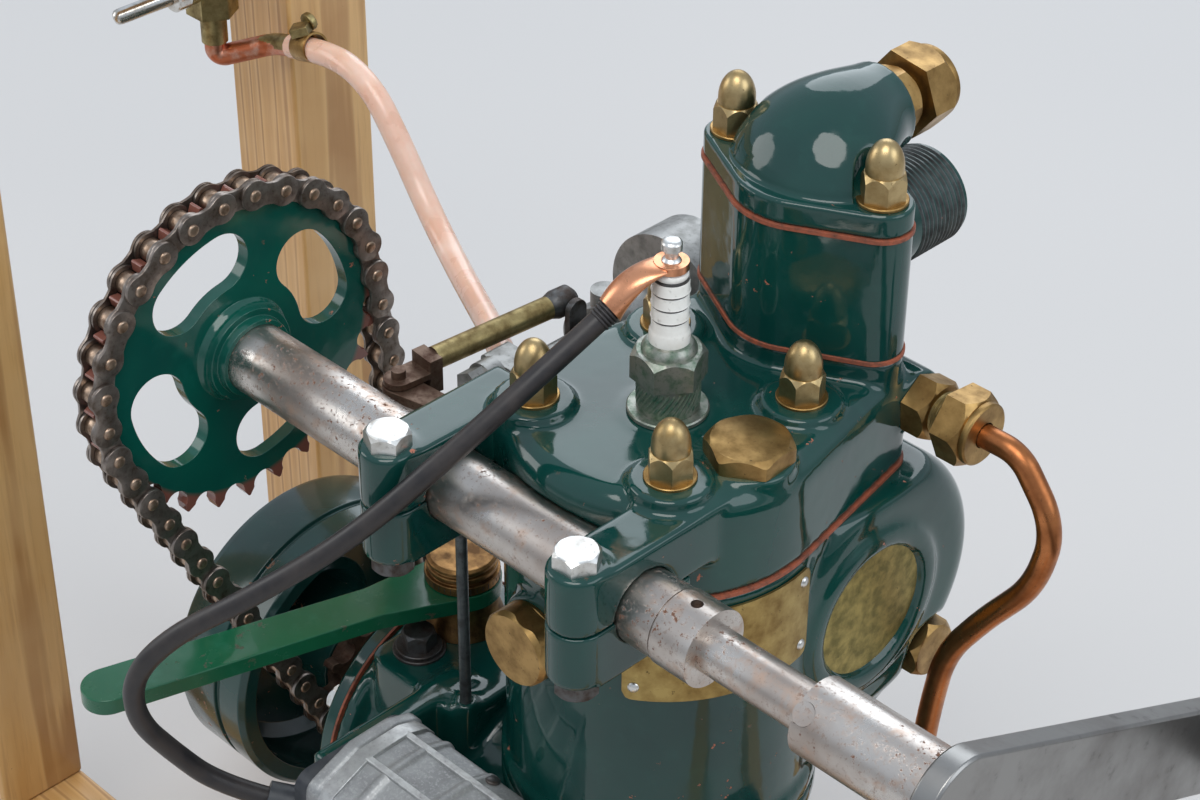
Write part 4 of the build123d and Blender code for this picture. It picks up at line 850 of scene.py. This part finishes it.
def union(name, at, direction, af_fitting, af_nut, fitting, neck, height, pipe, turn=0.0):
    d = Vector(direction).normalized()
    at = Vector(at)
    nut = height - fitting - neck
    parts = [
        hex_head(name + "_fitting", af_fitting, fitting, at, d, hex_bronze, "engine", turn, 0.12),
        hex_head(name + "_nut", af_nut, nut * 0.8, at + d * (fitting + neck), d, hex_bronze, "engine", turn + 17, 0.12),
        lathe(name + "_collar", [(af_nut * 0.30, -0.5), (af_nut * 0.47, 0), (af_nut * 0.48, 0.5),
                                 (af_nut * 0.47, nut * 0.16), (af_nut * 0.44, nut * 0.2), (pipe + 0.4, nut * 0.2),
                                 (pipe + 0.05, nut * 0.1)], at + d * (fitting + neck + nut * 0.8), d, hex_bronze,
              "engine", 56),
    ]
    ring_thread(name + "_neck", af_fitting * 0.39, 0.45, 0, neck + 1.0, 1.1, at + d * (fitting - 0.4), d, rod_brass,
                "engine")
    return join(name, parts)


def pipe_unions():
    head_end = union("head_union", (41, 73, 331), (1, 0, 0), 19, 22.5, 9, 5, 26, 4.0, 6)
    union("case_union", (48, 46.5, 160), (0, 1, 0), 16, 18, 5, 0.5, 12.5, 4.0, 11)
    union("elbow_union", (0, 92.8, 413), (0, 1, 0), 21, 25.5, 9, 2, 26.2, 6.6, 21)
    lathe("elbow_union_mouth", [(7.0, 0), (7.0, -8), (0, -8)], (0, 119, 413), (0, 1, 0), dark_steel, "engine", 40)
    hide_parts("pipe_unions")


pipe_unions()

# Raised borders and ribs of the magneto casting, and the screw in its back band


def magneto_ribs():
    ridge = [(-101.2, 150), (-101.2, 208.2), (-98.8, 211.6), (-83.4, 218.2), (-66.6, 218.2), (-59.2, 215.6),
             (-55.6, 211.5), (-55.6, 196)]
    pieces = []
    for k, (x0, x1) in enumerate(((-57.0, -50.5), (-0.6, 1.8))):
        verts, faces = [], []
        for y, z in ridge:
            cy, cz = -78, 180
            d = hypot(y - cy, z - cz)
            oy, oz = (y - cy) / d, (z - cz) / d
            for x, grow in ((x0, -0.8), (x0 + 0.4, 0.9), (x1 - 0.4, 0.9), (x1, -0.8)):
                verts.append((x, y + oy * grow, z + oz * grow))
        for i in range(len(ridge) - 1):
            for j in range(3):
                a = i * 4 + j
                faces.append([a, a + 1, a + 5, a + 4])
        faces += [[0, 1, 2, 3], [len(verts) - 4 + j for j in (3, 2, 1, 0)]]
        pieces.append(add(f"magneto_border_{k}", verts, faces, rib_alloy, "engine", True, 30, 0.25))
    for k, (y, z, tilt) in enumerate(((-83.2, 218.15, 12), (-66.4, 218.1, -10))):
        m = placed((-52, y, z), (1, 0, 0))
        half = 1.3
        out = [(half, -0.7), (half, 0.5), (half - 0.4, 0.9), (0.4 - half, 0.9), (-half, 0.5), (-half, -0.7)]
        verts = [(x, y + a, z + b) for x in (-52.0, -1.0) for a, b in out]
        faces = [[i, (i + 1) % 6, 6 + (i + 1) % 6, 6 + i] for i in range(6)] + [list(range(6)), list(range(6, 12))]
        pieces.append(add(f"magneto_rib_{k}", verts, faces, rib_alloy, "engine", True, 30, 0.2))
    lathe("magneto_screw", [(0.4, -1), (2.7, -0.9), (2.9, 0.2), (2.5, 0.7), (0, 0.9)], (-18, -59.6, 215.5),
          (0, 0.35, 0.94), dark_steel, "engine", 28, 50)


magneto_ribs()

# Nuts, bolts and small fittings


def flanged_bolt(name, at, direction, af, height, body, turn=0.0, mat=bolt_steel, washers=0):
    made = []
    x, y, z = at
    d = Vector(direction).normalized()
    foot = Vector(at)
    for i in range(washers):
        made.append(washer(f"{name}_washer_{i}", af * (0.86 - 0.1 * i), 1.5, 1.3, foot, d, mat, body))
        foot = foot + d * 1.3
    made.append(hex_head(name + "_head", af, height, foot, d, mat, body, turn))
    return join(name, made) if len(made) > 1 else made[0]


for i, (x, y) in enumerate(((-29, -29), (29, -29), (29, 29), (-29, 29))):
    acorn(f"head_nut_{i}", (x, y, 347.7), "engine", 11 + 37 * i, 12.7, 5.95, 8.9, 20.9)
for i, x in enumerate((-30, 30)):
    acorn(f"riser_nut_{i}", (x, 60, 405.4), "engine", 20 + 31 * i, 12.7, 5.95, 8.9, 20.9)
for i, x in enumerate((-45.3, 35.8)):
    flanged_bolt(f"bearing_bolt_{i}", (x, -74, 344.3), (0, 0, 1), 13, 5.2, "engine", 8 + 25 * i)
for i, x in enumerate((-45.3, 35.8)):
    flanged_bolt(f"bearing_nut_{i}", (x, -74, 303.2), (0, 0, -1), 13, 5.5, "engine", 15, dark_steel)
for i in range(6):
    a = radians(30 + 60 * i)
    flanged_bolt(f"cover_bolt_{i}", (-119.3, 44.5 * cos(a), CRANK_Z + 44.5 * sin(a)), (-1, 0, 0), 10, 4.6, "engine",
                 17 * i)
flanged_bolt("pad_bolt", (-95, -23, 202.8), (0, 0, 1), 11, 6.5, "engine", 12, dark_steel, 2)
for i, (x, y) in enumerate(((-85, -52), (-85, 52), (60, -52), (60, 52))):
    flanged_bolt(f"foot_bolt_{i}", (x, y, 110.8), (0, 0, 1), 13, 7, "engine", 9 * i, dark_steel, 1)


ring_thread("spigot_thread", 17.1, 0.9, 12, 34.6, 2.0, (0, 87, 370.5), (0, 1, 0), iron_thread, "engine")


def knurl(name, radius, h0, h1, teeth, at, mat, body):
    """Diamond-cut band round an upright axis."""
    verts, faces = [], []
    rows = 7
    n = teeth * 2
    m = placed(at)
    for k in range(rows):
        h = h0 + (h1 - h0) * k / (rows - 1)
        for i in range(n):
            r = radius + (0.28 if (i + k) % 2 == 0 and 0 < k < rows - 1 else 0.0)
            a = 2 * pi * i / n
            verts.append(m @ Vector((r * cos(a), r * sin(a), h)))
    for k in range(rows - 1):
        for i in range(n):
            a, b = k * n + i, k * n + (i + 1) % n
            faces.append([a, b, b + n, a + n])
    return add(name, verts, faces, mat, body, False)


# Spark plug: shell, knurled band, ribbed insulator and terminal
plug = (2.0, -2.0, 0.0)
shell = lathe("plug_shell", [
    (3, 345.5), (12.4, 345.5), (12.8, 345.8), (12.8, 346.9), (12.4, 347.3), (9.6, 347.4), (9.8, 347.8),
    (9.8, 357.6), (9.2, 358.1), (3, 358.1)], plug, (0, 0, 1), plug_grey, "engine", 64)
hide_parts("spark_plug_body")
knurl("plug_knurled_band", 9.72, 348.6, 357.0, 34, plug, knurl_green, "engine")
hex_head("plug_hexagon", 20.8, 9.9, (2, -2, 358.0), (0, 0, 1), plug_grey, "engine", 22, 0.1)
lathe("plug_shoulder", [(3, 367.0), (8.6, 367.2), (8.6, 368.6), (8.1, 369.6), (7.3, 370.8), (6.3, 371.2), (3, 371.2)],
      plug, (0, 0, 1), plug_grey, "engine", 56)
outline = [(3, 370.6), (6.35, 370.6), (6.4, 371.4), (6.4, 374.4)]
z = 376.0
for i in range(4):
    outline += [(6.05, z - 0.7), (5.75, z), (5.75, z + 2.5), (5.5, z + 3.0), (5.0, z + 3.4), (5.0, z + 3.8)]
    z += 4.6
outline += [(5.5, z), (5.2, z + 1.0), (4.5, 396.0), (2, 396.0)]
insulator = lathe("plug_insulator", outline, plug, (0, 0, 1), ceramic, "engine", 56, 50)
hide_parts("spark_plug_insulator")
# Dark steel rings fill the grooves under the insulator's ribs: painted shade for the shaded grooves.
for i in range(4):
    h = 379.3 + 4.6 * i
    lathe(f"plug_groove_painted_shade_{i}", [(4.9, h - 0.25), (5.62, h - 0.15), (5.62, h + 0.5), (4.9, h + 0.6)], plug, (0, 0, 1),
          dark_steel, "engine", 48)
terminal = [(1.5, 395.6), (3.0, 395.8), (3.0, 399.3), (2.6, 399.8), (2.1, 400.2), (2.1, 401.9), (2.6, 402.4),
            (3.2, 402.8), (3.2, 405.1), (2.9, 405.6), (2.2, 406.0), (0, 406.0)]
lathe("plug_terminal", terminal, plug, (0, 0, 1), bolt_steel, "engine", 40)

# Bare brass nameplate bent round the barrel, with rivets


def nameplate():
    r, t = 51.35, 0.8
    a0, a1, z0, z1 = radians(-60), radians(13.5), 270.0, 304.5
    cols, rows = 56, 5
    verts, faces = [], []
    for layer in (0, 1):
        for i in range(cols + 1):
            a = a0 + (a1 - a0) * i / cols
            edge = min(i, cols - i) * (a1 - a0) / cols * r
            cut = max(0.0, 3.0 - edge)
            shrink = 3.0 - sqrt(max(0.0, 9.0 - cut * cut))
            for k in range(rows + 1):
                h = z0 + shrink + (z1 - z0 - 2 * shrink) * k / rows
                verts.append(Vector(((r + layer * t) * cos(a), (r + layer * t) * sin(a), h)))
    size = (cols + 1) * (rows + 1)

    def at(i, k, layer):
        return layer * size + i * (rows + 1) + k

    for i in range(cols):
        for k in range(rows):
            faces.append([at(i, k, 1), at(i + 1, k, 1), at(i + 1, k + 1, 1), at(i, k + 1, 1)])
            faces.append([at(i, k, 0), at(i, k + 1, 0), at(i + 1, k + 1, 0), at(i + 1, k, 0)])
        faces.append([at(i, 0, 0), at(i + 1, 0, 0), at(i + 1, 0, 1), at(i, 0, 1)])
        faces.append([at(i, rows, 0), at(i, rows, 1), at(i + 1, rows, 1), at(i + 1, rows, 0)])
    for i in (0, cols):
        for k in range(rows):
            faces.append([at(i, k, 0), at(i, k, 1), at(i, k + 1, 1), at(i, k + 1, 0)])
    return add("bare_nameplate", verts, faces, plate_brass, "engine", True, 40)


nameplate()
for i, (a, z) in enumerate(((-56, 300), (-56, 275), (9.5, 300), (9.5, 275))):
    d = (cos(radians(a)), sin(radians(a)), 0)
    lathe(f"plate_rivet_{i}", [(0.3, 0), (1.9, 0), (1.7, 0.5), (1.0, 0.9), (0, 1.0)],
          (52.1 * d[0], 52.1 * d[1], z), d, bolt_steel, "engine", 24, 60)

# Graduated ring of the timing gear
verts, faces = [], []
for i in range(36):
    a = 2 * pi * i / 36
    length = 2.4 if i % 3 == 0 else 1.4
    m = Matrix.Translation((-97, 0, 224.8)) @ Matrix.Rotation(a, 4, "Z")
    start = len(verts)
    for x, y, z in ((13.3, -0.18, -length / 2), (13.3, 0.18, -length / 2), (13.3, 0.18, length / 2),
                    (13.3, -0.18, length / 2), (13.62, -0.1, -length / 2), (13.62, 0.1, -length / 2),
                    (13.62, 0.1, length / 2), (13.62, -0.1, length / 2)):
        verts.append(m @ Vector((x, y, z)))
    faces += [[start + k for k in f] for f in ((4, 5, 6, 7), (0, 4, 7, 3), (1, 2, 6, 5), (0, 1, 5, 4), (3, 7, 6, 2))]
add("timing_marks", verts, faces, dark_steel, "engine", False)

# Hose clips: band, screw and worm housing


def hose_clip(name, at, along, radius, side, body):
    """Band clip round the hose with its screw to one side."""
    d = Vector(along).normalized()
    s = (Vector(side) - d * Vector(side).dot(d)).normalized()
    band = lathe(name + "_band", [(radius, -4.6), (radius + 0.8, -4.6), (radius + 0.9, -4.2), (radius + 0.9, 4.2),
                                  (radius + 0.8, 4.6), (radius, 4.6)], at, d, hex_bronze, body, 48)
    t = d.cross(s)
    foot = Vector(at) + s * (radius + 1.6)
    house = prism(name + "_housing", [(-3.4, -3.6), (3.4, -3.6), (3.4, 3.6), (-3.4, 3.6)], -1.2, 2.6,
                  placed(foot, s), rod_brass, body, 0.5)
    head = Vector(foot) + s * 1.6 - t * 3.2
    screw = lathe(name + "_screw", [(0.5, 0), (3.3, 0), (3.5, 0.3), (3.5, 2.0), (3.1, 2.5), (0, 2.7)], head, -t,
                  rod_brass, body, 36)
    # The dark bar across the screw head is painted shade that stands for the slot's recess.
    slot = prism(name + "_slot", [(-3.0, -0.35), (3.0, -0.35), (3.0, 0.35), (-3.0, 0.35)], 2.3, 2.78,
                 placed(head, -t, 25), dark_steel, body, 0.0, False)
    return band, house, screw, slot


clip = hose_clip("tap_hose_clip", (-240.5, 58.6, 356.0), (24, -1, 6.9), 4.9, (0, -0.2, 1), "engine")

# Frayed wrap where the lead goes into its copper tag
for i in range(4):
    p, q = Vector(lead_points[0]), Vector(lead_points[1])
    d = (q - p).normalized()
    at = p + d * (0.8 + 1.15 * i)
    r = 4.1 - 0.08 * i
    lathe(f"lead_wrap_{i}", [(3.2, -0.5), (r - 0.3, -0.5), (r, -0.2), (r, 0.2), (r - 0.3, 0.5), (3.2, 0.5)], at, d,
          rubber, "engine", 32, 60)

# Floor and light


def stage():
    floor = bpy.data.meshes.new("floor")
    bm = bmesh.new()
    bmesh.ops.create_grid(bm, x_segments=4, y_segments=4, size=6)
    bm.to_mesh(floor)
    bm.free()
    obj = bpy.data.objects.new("floor", floor)
    obj.location.z = -0.0005
    scene.collection.objects.link(obj)
    s = Shader("pale_floor", (0.62, 0.60, 0.58), rough=0.75)
    s.layer(s.steps(s.noise(900, 2), 0.3, 0.7), (0.58, 0.565, 0.55))
    obj.data.materials.append(s.done())
    for name, at, aim, size, power, colour in (
            ("key", (0.35, -0.7, 1.9), (0.0, 0.0, 0.3), 1.2, 15, (1.0, 0.98, 0.95)),
            ("fill", (1.5, 0.5, 1.2), (0.0, 0.0, 0.25), 1.3, 8, (0.90, 0.95, 1.0)),
            ("back", (-1.1, 1.5, 1.5), (0.0, 0.0, 0.3), 1.6, 14, (0.90, 0.95, 1.0)),
            ("left", (-1.4, -0.9, 0.9), (0.0, 0.0, 0.25), 0.9, 5, (1.0, 0.98, 0.95))):
        light = bpy.data.lights.new(name, "AREA")
        light.energy = power
        light.shape = "DISK"
        light.size = size
        light.color = colour
        lamp = bpy.data.objects.new(name, light)
        lamp.matrix_world = Matrix.Translation(at) @ (Vector(aim) - Vector(at)).to_track_quat("-Z", "Y").to_matrix().to_4x4()
        scene.collection.objects.link(lamp)
    world = bpy.data.worlds.new("studio")
    scene.world = world
    world.use_nodes = True
    tree = world.node_tree
    back = tree.nodes["Background"]
    back.inputs["Strength"].default_value = 0.75
    place = tree.nodes.new("ShaderNodeTexCoord")
    split = tree.nodes.new("ShaderNodeSeparateXYZ")
    tree.links.new(place.outputs["Generated"], split.inputs[0])
    ramp = tree.nodes.new("ShaderNodeValToRGB")
    ramp.color_ramp.elements[0].position = 0.42
    ramp.color_ramp.elements[0].color = (0.30, 0.27, 0.24, 1)
    ramp.color_ramp.elements[1].position = 0.62
    ramp.color_ramp.elements[1].color = (0.78, 0.86, 0.97, 1)
    shift = tree.nodes.new("ShaderNodeMapRange")
    shift.inputs["From Min"].default_value = -1
    tree.links.new(split.outputs["Z"], shift.inputs["Value"])
    tree.links.new(shift.outputs[0], ramp.inputs[0])
    tree.links.new(ramp.outputs[0], back.inputs["Color"])


stage()
scene.view_settings.view_transform = "Standard"
